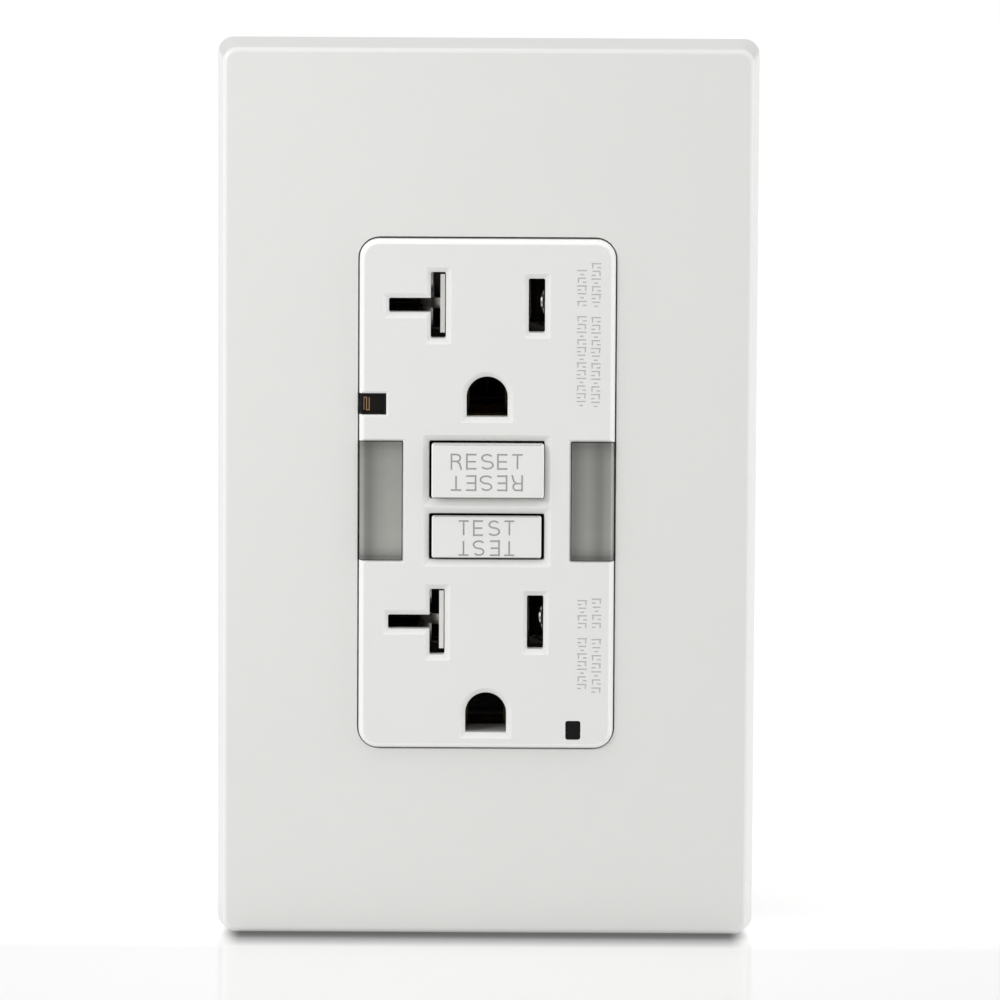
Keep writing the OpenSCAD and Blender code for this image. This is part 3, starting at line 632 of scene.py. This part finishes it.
# Middle x, top z, marks in each group and their pitch.
MARK_COLUMNS = [
    (13.98, 30.25, (6, 12), 1.0),
    (12.14, 29.35, (5, 12), 1.0),
    (14.3, -13.45, (4, 7), 1.06),
    (12.45, -13.65, (4, 7), 1.0),
]


def mark_rows():
    """Small engraved ticks in place of print, as (x0, x1, z0, z1): a long and a short bar and a post."""
    ticks = []
    for x, top, groups, pitch in MARK_COLUMNS:
        z = top
        for count in groups:
            for i in range(count):
                half = (0.62, 0.5, 0.62, 0.56)[i % 4]
                ticks.append((x - half, x + half, z - 0.16, z))
                lean = (0.36, -0.36, 0.0)[(i + count) % 3]
                ticks.append((x - 0.24 + lean, x + 0.24 + lean, z - 0.68, z - 0.52))
                post = x - 1.3 * lean
                if lean:
                    ticks.append((post - 0.08, post + 0.08, z - 0.68, z - 0.1))
                z -= pitch
            z -= pitch
    return ticks


def window(side, x, z0, z1, back, flare=0.3):
    """A cutter for an opening at the edge of the nose, chamfered on its other three sides."""
    loops = []
    for d, y in ((flare + 0.3, FACE_Y - 0.3), (0.0, FACE_Y + flare), (0.0, back)):
        near, far = side * (x - d), side * 18
        loops.append([(near, y, z0 - d), (far, y, z0 - d), (far, y, z1 + d), (near, y, z1 + d)])
    return loft(loops)


def face_cover():
    mesh = boolean(nose(), [slab(43.2, 70, -1, 5.5, 1.5)], "UNION")
    bosses = [placed(lathe([(2.9, 0), (2.9, 9)]), "y", x, 0, z) for x, z in CASE_SCREWS]
    hollow = boolean(slab(29.4, 62.8, FACE_Y + 2, 6.5, 1), [slab(39.6, 66.4, 0.8, 6.6, 1)], "UNION")
    mesh = boolean(mesh, [boolean(hollow, bosses)])
    cutters = [mouth(14.9, 7.55, BUTTON_BEVEL, 0, RESET_Z), mouth(14.9, 6.03, BUTTON_BEVEL, 0, TEST_Z)]
    for z in ROWS:
        for w, h, x in ((2.1, 7, SLOT_X), (1.95, 8.6, -SLOT_X), (5.6, 1.85, -9.9)):
            cutters.append(mouth(w, h, SLOT_BEVEL, x, z))
        cutters.append(ground_mouth(z - GROUND_DROP))
    for side in (-1, 1):
        cutters.append(window(side, LENS_X, LENS_Z0, LENS_Z1, -2.2))
    cutters.append(window(-1, 13.02, 10.37, 13.16, -3.4))
    cutters.append(slab(1.95, 2.49, FACE_Y - 1, FACE_Y + 3, 0.3, INDICATOR_X, INDICATOR_Z))
    cutters += [placed(lathe([(1.32, 0), (1.32, 9.6)]), "y", x, -0.6, z) for x, z in CASE_SCREWS]
    mesh = boolean(mesh, cutters)

    def near_front(a, b):
        return max(a.y, b.y) < FACE_Y + 2.1 and min(a.y, b.y) < FACE_Y + 1.2

    mesh = soften(mesh, 0.07, 2, 20, near_front)
    bars = [box(x0, x1, FACE_Y - 0.3, FACE_Y + 0.07, z0, z1) for x0, x1, z0, z1 in mark_rows()]
    mesh = boolean(mesh, bars)
    # The bevels are painted lighter where they don't face up, the nose's rounded edge takes a painted
    # highlight, and the ticks a grey painted shade.
    finishes = [MATERIALS["face_plastic"], PAINTED_BEVEL_LIGHT, PAINTED_HIGHLIGHT, PAINTED_TICK_SHADE]
    o = piece("device_face", mesh, ["face_cover"], finishes, smooth=32)
    paint_edge_light(o, FACE_Y - 0.1, FACE_Y + 0.86, NOSE_W / 2 - 1, NOSE_H / 2 - 1)
    # The ticks' floors and walls are the small faces just under the face, in the two columns of marks;
    # they take a grey painted shade.
    for p in o.data.polygons:
        x, y, z = p.center / MM
        shallow = FACE_Y + 0.01 < y < FACE_Y + 0.1
        if shallow and 11 < x < 15 and abs(z) < 31 and p.area / MM**2 < 0.4:
            p.material_index = TICK


# Buttons with engraved words.
def letter(which, x, z, w, h):
    """The strokes of a capital letter whose lower left corner is at x, z."""
    if which == "T":
        return [[(x, z + h), (x + w, z + h)], [(x + w / 2, z + h), (x + w / 2, z)]]
    if which == "E":
        bars = [[(x, z + k * h), (x + w * (0.93 if k == 0.5 else 1), z + k * h)] for k in (0, 0.5, 1)]
        return bars + [[(x, z - 0.14), (x, z + h + 0.14)]]
    if which == "R":
        bowl = arc(x + w * 0.55, z + h * 0.76, h * 0.24, 90, -90, 8)
        return [
            [(x, z - 0.14), (x, z + h + 0.14)],
            [(x, z + h), *bowl, (x, z + h * 0.52)],
            [(x + w * 0.55, z + h * 0.52), (x + w * 0.82, z + h * 0.36), (x + w, z - 0.14)],
        ]
    # An S: two bows on unit circles, each scaled and set in its half of the letter.
    upper = [(0.5 + 0.44 * a, 0.76 + 0.24 * b) for a, b in arc(0, 0, 1, 30, 270, 12)]
    lower = [(0.5 + 0.5 * a, 0.26 + 0.26 * b) for a, b in arc(0, 0, 1, 70, -150, 11)]
    return [[(x + w * a, z + h * b) for a, b in upper[:-1] + lower]]


LETTER_H = 2.05


def word_cutters(letters, base, mid, width, depth, front):
    """The strokes of a word, upright above mid and turned upside down below it."""
    solids = []
    for which, x, w in letters:
        for stroke in letter(which, x + width / 2, base + width / 2, w - width, LETTER_H - width):
            outline = ribbon(stroke, width)
            turned = [(-p[0], 2 * mid - p[1]) for p in outline]
            for shape in (outline, turned):
                solids.append(stamp(shape, front - 0.3, front + depth))
    return solids


def button(name, node, w, h, z, front, letters, base, stem, shift=0.0):
    """A key with a rounded rim, which takes a painted highlight. Below the seat it is a little smaller,
    and painted near-black as shade, like the gap round it.
    """
    seat, rim = FACE_Y + 0.9, 0.18
    loops = [rounded(w - 0.12, h - 0.12, 0.24, y, shift, z) for y in (-5.35, seat)]
    loops.append(rounded(w, h, 0.3, seat - 0.05, shift, z))
    for i in range(6):
        a = math.radians(18 * i)
        d = rim * (1 - math.cos(a))
        loops.append(rounded(w - 2 * d, h - 2 * d, 0.3 - d, front + rim - rim * math.sin(a), shift, z))
    flange = slab(w + 1.5, h + 0.9, -5.4, -4.4, 0.8, 0, z)
    mesh = boolean(loft(loops), [flange, *stem], "UNION")
    if node == "reset_button":
        mesh = boolean(mesh, [placed(lathe([(1.5, 0), (1.5, 4)]), "y", 0, -6, z)])
    stroke, depth, middle = 0.21, 0.12, z - 0.12
    mesh = boolean(mesh, word_cutters(letters, base, middle, stroke, depth, front))
    # Painted shade below the seat and in the letters, and a painted highlight on the sloping rim.
    kinds = []
    for p in mesh.polygons:
        y = p.center.y
        if seat - 0.03 < y < -4.45:
            kinds.append(GAP)
        elif front + 0.02 < y < front + 0.13 and abs(p.center.x) < w / 2 - 1.4:
            kinds.append(LETTERS)
        else:
            kinds.append(RIM if front < y < front + 0.19 and sloping(p) else PLAIN)
    o = piece(name, mesh, [node], [MATERIALS["button_plastic"], PAINTED_GROOVE_SHADE, PAINTED_GAP_SHADE, PAINTED_HIGHLIGHT])
    o.data.polygons.foreach_set("material_index", kinds)


def buttons():
    # Each letter with its left edge and its width.
    reset = [("R", -4.67, 1.5), ("E", -2.67, 1.43), ("S", -0.82, 1.73)]
    reset += [("E", 1.33, 1.43), ("T", 3.18, 1.55)]
    test = [("T", -3.7, 1.5), ("E", -1.74, 1.38), ("S", 0.17, 1.6), ("T", 2.22, 1.48)]
    hub = placed(lathe([(3.2, 0), (3.2, 1.9)]), "y", 0, -4.9, RESET_Z)
    post = box(-1.6, 1.6, -4.9, 0.9, TEST_Z - 1, TEST_Z + 1)
    front = FACE_Y - 0.9
    button("reset_key", "reset_button", 14.5, 6.98, RESET_Z, front, reset, RESET_Z + 0.25, [hub], 0.12)
    front = FACE_Y + 0.15
    button("test_key", "test_button", 14.16, 5.46, TEST_Z, front, test, TEST_Z + 0.16, [post])


# Guide light lenses, sensor and indicator. The lens colour is painted with the light guide's light and
# shade: darker where the guide behind is thin, and towards the lenses' ends.
# Stops are (millimetres from the middle of the face, share of the full brightness).
LENS_X_SHARES = [
    (-17.0, 0.9), (-16.3, 0.9), (-15.95, 0.86), (-15.75, 0.6), (-15.3, 0.55), (-15.0, 0.56),
    (-14.6, 0.68), (-13.9, 0.85), (-12.9, 0.97), (-12.2, 1.0), (-11.4, 0.97), (-10.87, 1.0),
    (10.87, 0.6), (11.2, 0.46), (11.6, 0.52), (12.2, 0.66), (13.0, 0.78), (13.6, 0.72),
    (14.4, 0.55), (14.8, 0.56), (15.3, 0.72), (15.9, 0.84), (16.4, 0.96), (17.0, 0.96),
]
LENS_Z_SHARES = [
    (-8.7, 0.25), (-8.3, 0.5), (-8.15, 0.42), (-7.7, 0.7), (-6.9, 0.92), (-5.5, 1.0),
    (0.0, 0.93), (4.4, 0.86), (5.7, 0.72), (6.4, 0.56), (6.97, 0.5),
]
LENS_X_SPAN = (-17, 17)
LENS_Z_SPAN = (-8.7, 7)


def shares(tree, value, span, stops):
    """A level looked up in stops of (millimetres, level) over a span of the object's own lengths."""
    low, high = span
    places = [((at - low) / (high - low), level) for at, level in stops]
    return ramp(tree, value, low * MM, high * MM, places)


def ramp(tree, value, low, high, stops):
    """A grey level looked up between stops of (place from 0 to 1, level)."""
    place = spread(tree, value, 0.0, 1.0, low, high)
    n = tree.nodes.new("ShaderNodeFloatCurve")
    curve = n.mapping.curves[0]
    curve.points[0].location, curve.points[1].location = stops[0], stops[-1]
    for stop in stops[1:-1]:
        curve.points.new(*stop)
    for point in curve.points:
        point.handle_type = "VECTOR"
    n.mapping.update()
    tree.links.new(place, n.inputs["Value"])
    return n.outputs["Value"]


def blended(tree, how, a, b):
    """Two colours blended in full by a named rule."""
    n = tree.nodes.new("ShaderNodeMix")
    n.data_type, n.blend_type = "RGBA", how
    n.inputs[0].default_value = 1.0
    tree.links.new(a, n.inputs[6])
    tree.links.new(b, n.inputs[7])
    return n.outputs[2]


def lens(side):
    """A piece of the nose's own shape that fills the opening, with a thinner plate and tongue behind."""
    x0, x1 = sorted((side * (LENS_X + 0.08), side * 18))
    window_box = box(x0, x1, FACE_Y - 1, 0, LENS_Z0 + 0.08, LENS_Z1 - 0.08)
    front = boolean(nose(0.04, -2.3), [window_box], "INTERSECT")
    plate = box(*sorted((side * 10, side * 14.9)), -5.2, 1, LENS_Z0 - 1, LENS_Z1 + 1)
    front = boolean(front, [plate])
    tongue = box(*sorted((side * 10.2, side * 14.6)), -5.58, -4.7, LENS_Z0 - 0.6, LENS_Z1 + 0.6)
    return soften(boolean(front, [tongue], "UNION"), 0.1, 2, 24)


def lights():
    material = MATERIALS["lens_plastic"]
    tree = material.node_tree
    # Two ramps, across and upright, paint the light guide's light and shade into the lens colour.
    own = separate(tree)
    across = shares(tree, own["X"], LENS_X_SPAN, LENS_X_SHARES)
    upright = shares(tree, own["Z"], LENS_Z_SPAN, LENS_Z_SHARES)
    base = tree.nodes["Principled BSDF"].inputs["Base Color"]
    shade = blended(tree, "MULTIPLY", base.links[0].from_socket, across)
    tree.links.new(blended(tree, "MULTIPLY", shade, upright), base)
    mesh = joined([lens(-1), lens(1)])
    piece("guide_light_windows", mesh, ["guide_light_lenses"], smooth=35)


def photocell():
    """A flat cell with a folded track on its face and two leads."""
    body = soften(box(-16.3, -13.12, -7.25, -3.5, 10.47, 13.06), 0.12)
    body = boolean(body, [box(-16.05, -13.37, -8, -6.95, 10.7, 12.83)])
    leads = [tube([(-14.2, -3.7, z), (-14.2, 0, z), (-14.2, 3.4, z)], 0.25) for z in (11.1, 12.4)]
    path, ends = [], (10.95, 12.6)
    for x in (-15.9, -15.56, -15.22):
        path += [(x, z) for z in ends]
        ends = ends[::-1]
    track = stamp(ribbon(path, 0.13), -7.02, -6.9)
    mesh = joined([body, *leads, track])
    dark = MATERIALS["sensor_ceramic"]
    amber = finish_of("sensor_track", (0.3, 0.17, 0.08), 0.35, tint=0.1, coat=0.5)
    count = len(mesh.polygons) - len(track.polygons)
    first_lead = len(body.polygons)
    o = piece("light_sensor", mesh, ["photocell"], finishes=[dark, amber, MATERIALS["silver"]])
    for i, p in enumerate(o.data.polygons):
        p.material_index = 1 if i >= count else 2 if i >= first_lead else 0


def indicator():
    front = slab(1.75, 2.3, FACE_Y + 0.2, -5.5, 0.25, INDICATOR_X, INDICATOR_Z)
    pipe = slab(1.75, 1.6, -5.55, 2, 0.25, INDICATOR_X, -30.45)
    stop = slab(3.4, 2.6, -5.55, -4.6, 0.4, INDICATOR_X, -30)
    mesh = boolean(front, [pipe, stop], "UNION")
    piece("indicator_window", soften(mesh, 0.08), ["indicator_light_pipe"])


# Screws, made along Z. Pitches are those of 32 threads an inch, and of the housing's own coarse screws.
PITCH, CASE_PITCH = 0.794, 0.9


def threaded(head, root, crest, pitch, z0, z1, tip, around=28):
    """A turned head, a thread from z0 to z1 and a turned tip, joined into one closed solid."""
    ridge = thread(root, crest, pitch, z0, z1, around)
    return joined([lathe(head, around, True), ridge, lathe(tip, around, True)], True)


def cross(length, width, across, low, high):
    """Cutters for a slot of a length along X, and one across it."""
    half = width / 2
    return [box(-length, length, -half, half, low, high), box(-half, half, -across, across, low, high)]


def mounting_screws():
    head = [(0, -1.1), (1.6, -1.08), (2.4, -0.95), (2.9, -0.68), (3.15, -0.3), (3.2, -0.08), (3.1, 0)]
    neck = [(1.45, 0), (1.45, 1.7), (1.36, 1.8)]
    tip = [(1.36, 20.4), (1.36, 20.6), (1.1, 21.4), (0, 21.4)]
    solids = []
    for z in (-41.67, 41.67):
        screw = threaded(head + neck, 1.36, 1.75, PITCH, 1.8, 20.4, tip)
        solids.append(placed(boolean(screw, cross(4, 0.9, 2.2, -2, -0.6)), "y", 0, -1.4, z))
    piece("box_screws", joined(solids), ["mounting_screws"], smooth=30)


def sub_plate_screws():
    head = [(0, 0), (3.2, 0), (3.5, 0.12), (3.45, 0.3), (1.7, 1.8), (1.7, 2.4), (1.36, 2.6)]
    tip = [(1.36, 9.0), (1.36, 9.1), (1.1, 9.4), (0, 9.4)]
    solids = []
    for z in (-48.42, 48.42):
        screw = threaded(head, 1.36, 1.7, PITCH, 2.6, 9.0, tip)
        slot = box(-4, 4, -0.45, 0.45, -1, 0.9)
        solids.append(placed(boolean(screw, [slot]), "y", 0, -3.4, z))
    piece("cover_screws", joined(solids), ["sub_plate_screws"], smooth=30)


def housing_screws():
    head = [(0, 1.5), (1.7, 1.46), (2.3, 1.2), (2.5, 0.8), (2.5, 0.1), (2.4, 0)]
    neck = [(1.05, 0), (1.05, -0.3)]
    tip = [(1.05, -25.0), (0.6, -25.5), (0, -25.5)]
    solids = []
    for x, z in CASE_SCREWS:
        screw = threaded(head + neck, 1.05, 1.3, CASE_PITCH, -25.0, -0.3, tip, around=24)
        solids.append(placed(boolean(screw, cross(1.6, 0.7, 1.6, 0.7, 3)), "y", x, 25.1, z))
    piece("case_screws", joined(solids), ["housing_screws"], smooth=30)


def binding_screw():
    """A hex-head terminal screw along Z with its seat at 0 and its head above."""
    hexagon = arc(0, 0, 4, 0, 300, 5)
    head = loft([[(x, y, z) for x, y in hexagon] for z in (0, 2)])
    dome = lathe([(0, -0.1), (3.7, -0.1), (4.05, 0.25), (4.05, 1.45), (3.5, 2), (0, 2)], 48)
    head = boolean(head, [dome], "INTERSECT")
    head = boolean(head, [box(-0.55, 0.55, -5, 5, 1, 3), box(-2.4, 2.4, -0.5, 0.5, 1, 3)])
    root = [(0, 0.3), (2.0, 0.3), (2.0, -0.5), (1.65, -0.7)]
    tip = [(1.65, -5.0), (1.2, -5.4), (0, -5.4)]
    shank = threaded(root, 1.65, 2.05, PITCH, -5.0, -0.7, tip)
    return boolean(soften(head, 0.08, 2, 30), [shank], "UNION")


def terminal_screws():
    for row, z in (("load", 18), ("line", -18)):
        for pole, side in (("hot", 1), ("neutral", -1)):
            name = f"{row}_{pole}"
            mesh = placed(binding_screw(), "x" if side > 0 else "-x", side * 19.65, 10, z)
            piece(name + "_terminal_screw", mesh, [name + "_screw"], smooth=30)
    ground = placed(binding_screw(), "-z", -9, 12, -36.65)
    piece("ground_terminal_screw", ground, ["ground_screw"], smooth=30)


# Springs and the test leaf.
def springs():
    reset = placed(helix(3.75, 0.3, 7.7, 6), "y", 0, -4.35, RESET_Z)
    o = piece("reset_return_spring", reset, ["reset_spring"], smooth=60, weighted=False)
    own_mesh(o)
    latch = placed(helix(0.85, 0.15, 2, 3.5), "z", 0, 12.4, RESET_Z + 4.25)
    o = piece("latch_return_spring", latch, ["latch_spring"], smooth=60, weighted=False)
    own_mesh(o)
    plunger = placed(helix(1.85, 0.17, 3.1, 4.5), "z", 0, 14.2, 16.35)
    o = piece("plunger_return_spring", plunger, ["plunger_spring"], smooth=60, weighted=False)
    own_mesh(o)


def test_leaf():
    path = [(1.15, -3.6), (1.15, -13.4), (1.35, -13.75), (2.9, -13.85), (3.25, -13.6), (3.25, -11.5)]
    fine = []
    for (y0, z0), (y1, z1) in zip(path, path[1:]):
        steps = max(1, int(abs(z1 - z0) / 0.5))
        fine += [(y0 + (y1 - y0) * i / steps, z0 + (z1 - z0) * i / steps) for i in range(steps)]
    outline = ribbon([Vector(p) for p in [*fine, path[-1]]], 0.3)
    mesh = loft([[(x, p[0], p[1]) for p in outline] for x in (-2, 2)])
    o = piece("test_leaf_strip", mesh, ["test_leaf"], smooth=30, weighted=False)
    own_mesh(o)


# Windings.
def coil():
    around = 48
    parts = [
        thread(5.72, 6.0, 0.42, 16.35, 30.85, around),
        lathe([(5.72, 16.35), (3.32, 16.35), (3.32, 30.85), (5.72, 30.85)], around, True),
    ]
    piece("solenoid_winding", placed(joined(parts, True), "z", 0, 14.2, 0), ["solenoid_coil"], smooth=60)


def ring_winding(y0, turns=54):
    """A wire wound round a ring core, as a ridged shell round the core."""
    ring_z, inner, outer, y1 = -20.5, 4.2, 7.5, y0 + 2
    section = 20
    rows = turns * 5
    verts, faces = [], []
    for layer in (0, 1):
        start = layer * rows * section
        for i in range(rows):
            a = 2 * math.pi * i / rows
            grow = 0.28 + 0.2 * abs(math.cos(math.pi * i / 5)) if layer else 0.02
            w, h, corner = outer - inner + 2 * grow, y1 - y0 + 2 * grow, 0.3 + grow * 0.8
            for across, _, up in rounded(w, h, corner, 0, steps=section // 4 - 1):
                r = (outer + inner) / 2 + across
                verts.append((r * math.cos(a), (y0 + y1) / 2 + up, ring_z + r * math.sin(a)))
            here, ahead = start + i * section, start + (i + 1) % rows * section
            for j in range(section):
                k = (j + 1) % section
                faces.append((here + j, here + k, ahead + k, ahead + j))
    return from_data(verts, faces)


def windings():
    rings = joined([ring_winding(15), ring_winding(18.4)])
    piece("ring_windings", rings, ["transformer_windings"], smooth=60)


wall_plate()
face_cover()
buttons()
lights()
photocell()
indicator()
mounting_screws()
sub_plate_screws()
housing_screws()
terminal_screws()
springs()
test_leaf()
coil()
windings()


# Paint over metal, by place in metres: painted shade behind the ground holes and on the outer ends of the
# neutral tongues, brass on the hot terminal and nickel on the neutral one.
def near(tree, value, middle, inner, outer):
    """1 within the inner distance of the middle, and 0 beyond the outer one."""
    away = math_node(tree, "ABSOLUTE", math_node(tree, "SUBTRACT", value, middle))
    return spread(tree, away, 1.0, 0.0, inner, outer)


def shade_behind_ground_holes(tree):
    own = separate(tree)
    rows = [near(tree, own["Z"], (z - GROUND_DROP) * MM, 0.0036, 0.004) for z in ROWS]
    side = near(tree, own["X"], 0.0, 0.0034, 0.0038)
    return math_node(tree, "MULTIPLY", side, math_node(tree, "MAXIMUM", *rows))


def beyond(start, stop):
    """A factor that goes from 0 to 1 as X goes from start to stop."""
    low, high = min(start, stop), max(start, stop)
    levels = (0.0, 1.0) if stop > start else (1.0, 0.0)
    return lambda tree: spread(tree, separate(tree)["X"], *levels, low, high)


# Painted shade on the metal behind the ground holes.
repaint(MATERIALS["zinc_steel"], shade_behind_ground_holes, (0.03, 0.028, 0.024))
repaint(MATERIALS["brass"], shade_behind_ground_holes, (0.045, 0.03, 0.014))
repaint(MATERIALS["iron"], shade_behind_ground_holes, (0.02, 0.02, 0.02))
# Painted shade on the outer ends of the neutral tongues.
repaint(MATERIALS["nickel_brass"], beyond(-0.0066, -0.0088), (0.05, 0.035, 0.015))
repaint(MATERIALS["nickel_brass"], beyond(0.0125, 0.0135), (0.42, 0.27, 0.11))
repaint(MATERIALS["nickel_brass"], beyond(-0.0125, -0.0135), (0.5, 0.49, 0.46))
for node in sorted(cad_nodes):
    if not cad_nodes[node].hide_render:
        refined(node)


# ---- stage, lights and camera ----

# The floor's glow inside the painted contact shadow.
CONTACT_SHADOW_GLOW = 0.1
# The floor's own light from 50 mm in front of the plate's back (0) to 150 mm behind it (1).
FLOOR_GLOW = [(0, 0.22), (0.18, 0.24), (0.26, 0.47), (0.36, 0.51), (0.6, 0.46), (1, 0.44)]
# How bright the surroundings are from straight in front (0) to straight behind (1).
SURROUND = [
    (0, 0.15), (0.2, 0.36), (0.38, 0.7), (0.5, 0.66), (0.65, 0.2), (0.984, 0.25), (0.991, 0.6), (1, 0.6),
]


def floor_finish():
    """A sweep lit from within, with a painted contact shadow that darkens it in the few millimetres where
    the plate stands on it.
    """
    material = bpy.data.materials.new("floor_white")
    material.use_nodes = True
    tree = material.node_tree
    shader = tree.nodes["Principled BSDF"]
    shader.inputs["IOR"].default_value = 1.45
    shader.inputs["Emission Color"].default_value = (1, 1, 1, 1)
    own = separate(tree)
    # Painted contact shadow: the floor's colour and glow fall dark in front of the plate's foot.
    across = near(tree, own["X"], 0.0, 0.032, 0.0345)
    ahead = spread(tree, own["Y"], 0.0, 1.0, -0.0125, -0.0035)
    behind = spread(tree, own["Y"], 1.0, 0.0, 0.0, 0.004)
    painted_contact_shadow = math_node(tree, "MULTIPLY", across, math_node(tree, "MULTIPLY", ahead, behind))
    pale, dark = (0.6, 0.6, 0.6), (0.02, 0.02, 0.02)
    tree.links.new(mixed(tree, painted_contact_shadow, pale, dark), shader.inputs["Base Color"])
    tree.links.new(spread(tree, own["Y"], 0.12, 0.9, 0.0, 0.03), shader.inputs["Roughness"])
    free = math_node(tree, "SUBTRACT", 1.0, painted_contact_shadow)
    free_glow = math_node(tree, "MULTIPLY", ramp(tree, own["Y"], -0.05, 0.15, FLOOR_GLOW), free)
    contact_glow = math_node(tree, "MULTIPLY", painted_contact_shadow, CONTACT_SHADOW_GLOW)
    glow = math_node(tree, "ADD", contact_glow, free_glow)
    tree.links.new(glow, shader.inputs["Emission Strength"])
    return material


scene = bpy.context.scene
floor_mesh = bpy.data.meshes.new("floor")
floor_corners = [(x, y, cad_low.z) for x, y in ((-4, -3), (4, -3), (4, 6), (-4, 6))]
floor_mesh.from_pydata(floor_corners, [], [(0, 1, 2, 3)])
floor_mesh.materials.append(floor_finish())
floor = bpy.data.objects.new("floor", floor_mesh)
scene.collection.objects.link(floor)

scene.view_settings.view_transform = "Standard"
world = bpy.data.worlds.new("world")
scene.world = world
world.use_nodes = True
tree = world.node_tree
background = tree.nodes["Background"]
background.inputs["Color"].default_value = (1, 1, 1, 1)
direction = tree.nodes.new("ShaderNodeSeparateXYZ")
tree.links.new(tree.nodes.new("ShaderNodeTexCoord").outputs["Generated"], direction.inputs["Vector"])
around = ramp(tree, direction.outputs["Y"], -1, 1, SURROUND)
above = spread(tree, direction.outputs["Z"], 1.72, 2.65, 0.15, 1)
tree.links.new(math_node(tree, "MULTIPLY", around, above), background.inputs["Strength"])


def area_light(name, place, target, size, power):
    data = bpy.data.lights.new(name, "AREA")
    data.size, data.energy = size, power
    o = bpy.data.objects.new(name, data)
    scene.collection.objects.link(o)
    o.location = place
    o.rotation_mode = "QUATERNION"
    o.rotation_quaternion = (Vector(target) - Vector(place)).to_track_quat("-Z", "Y")


# Place, target, size and power.
area_light("key", (-0.19, -0.25, 0.12), (0, 0, 0.01), 0.12, 0.29)
area_light("rim", (0.35, -0.05, -0.01), (0.03, 0, 0), 0.14, 0.16)

camera_data = bpy.data.cameras.new("camera")
camera_data.lens, camera_data.sensor_width = 320.4, 36
camera_data.clip_start, camera_data.clip_end = 0.05, 20
camera = bpy.data.objects.new("camera", camera_data)
scene.collection.objects.link(camera)
camera_distance = 1.15
pitch, roll_angle = math.radians(8.4), math.radians(0.3)
aim = Vector((1.72, -7, -0.72)) * MM
look = Vector((0, math.cos(pitch), -math.sin(pitch)))
camera.location = aim - look * camera_distance
camera.rotation_mode = "QUATERNION"
roll = Matrix.Rotation(roll_angle, 4, "Z")
camera.rotation_quaternion = (look.to_track_quat("-Z", "Y").to_matrix().to_4x4() @ roll).to_quaternion()
scene.camera = camera
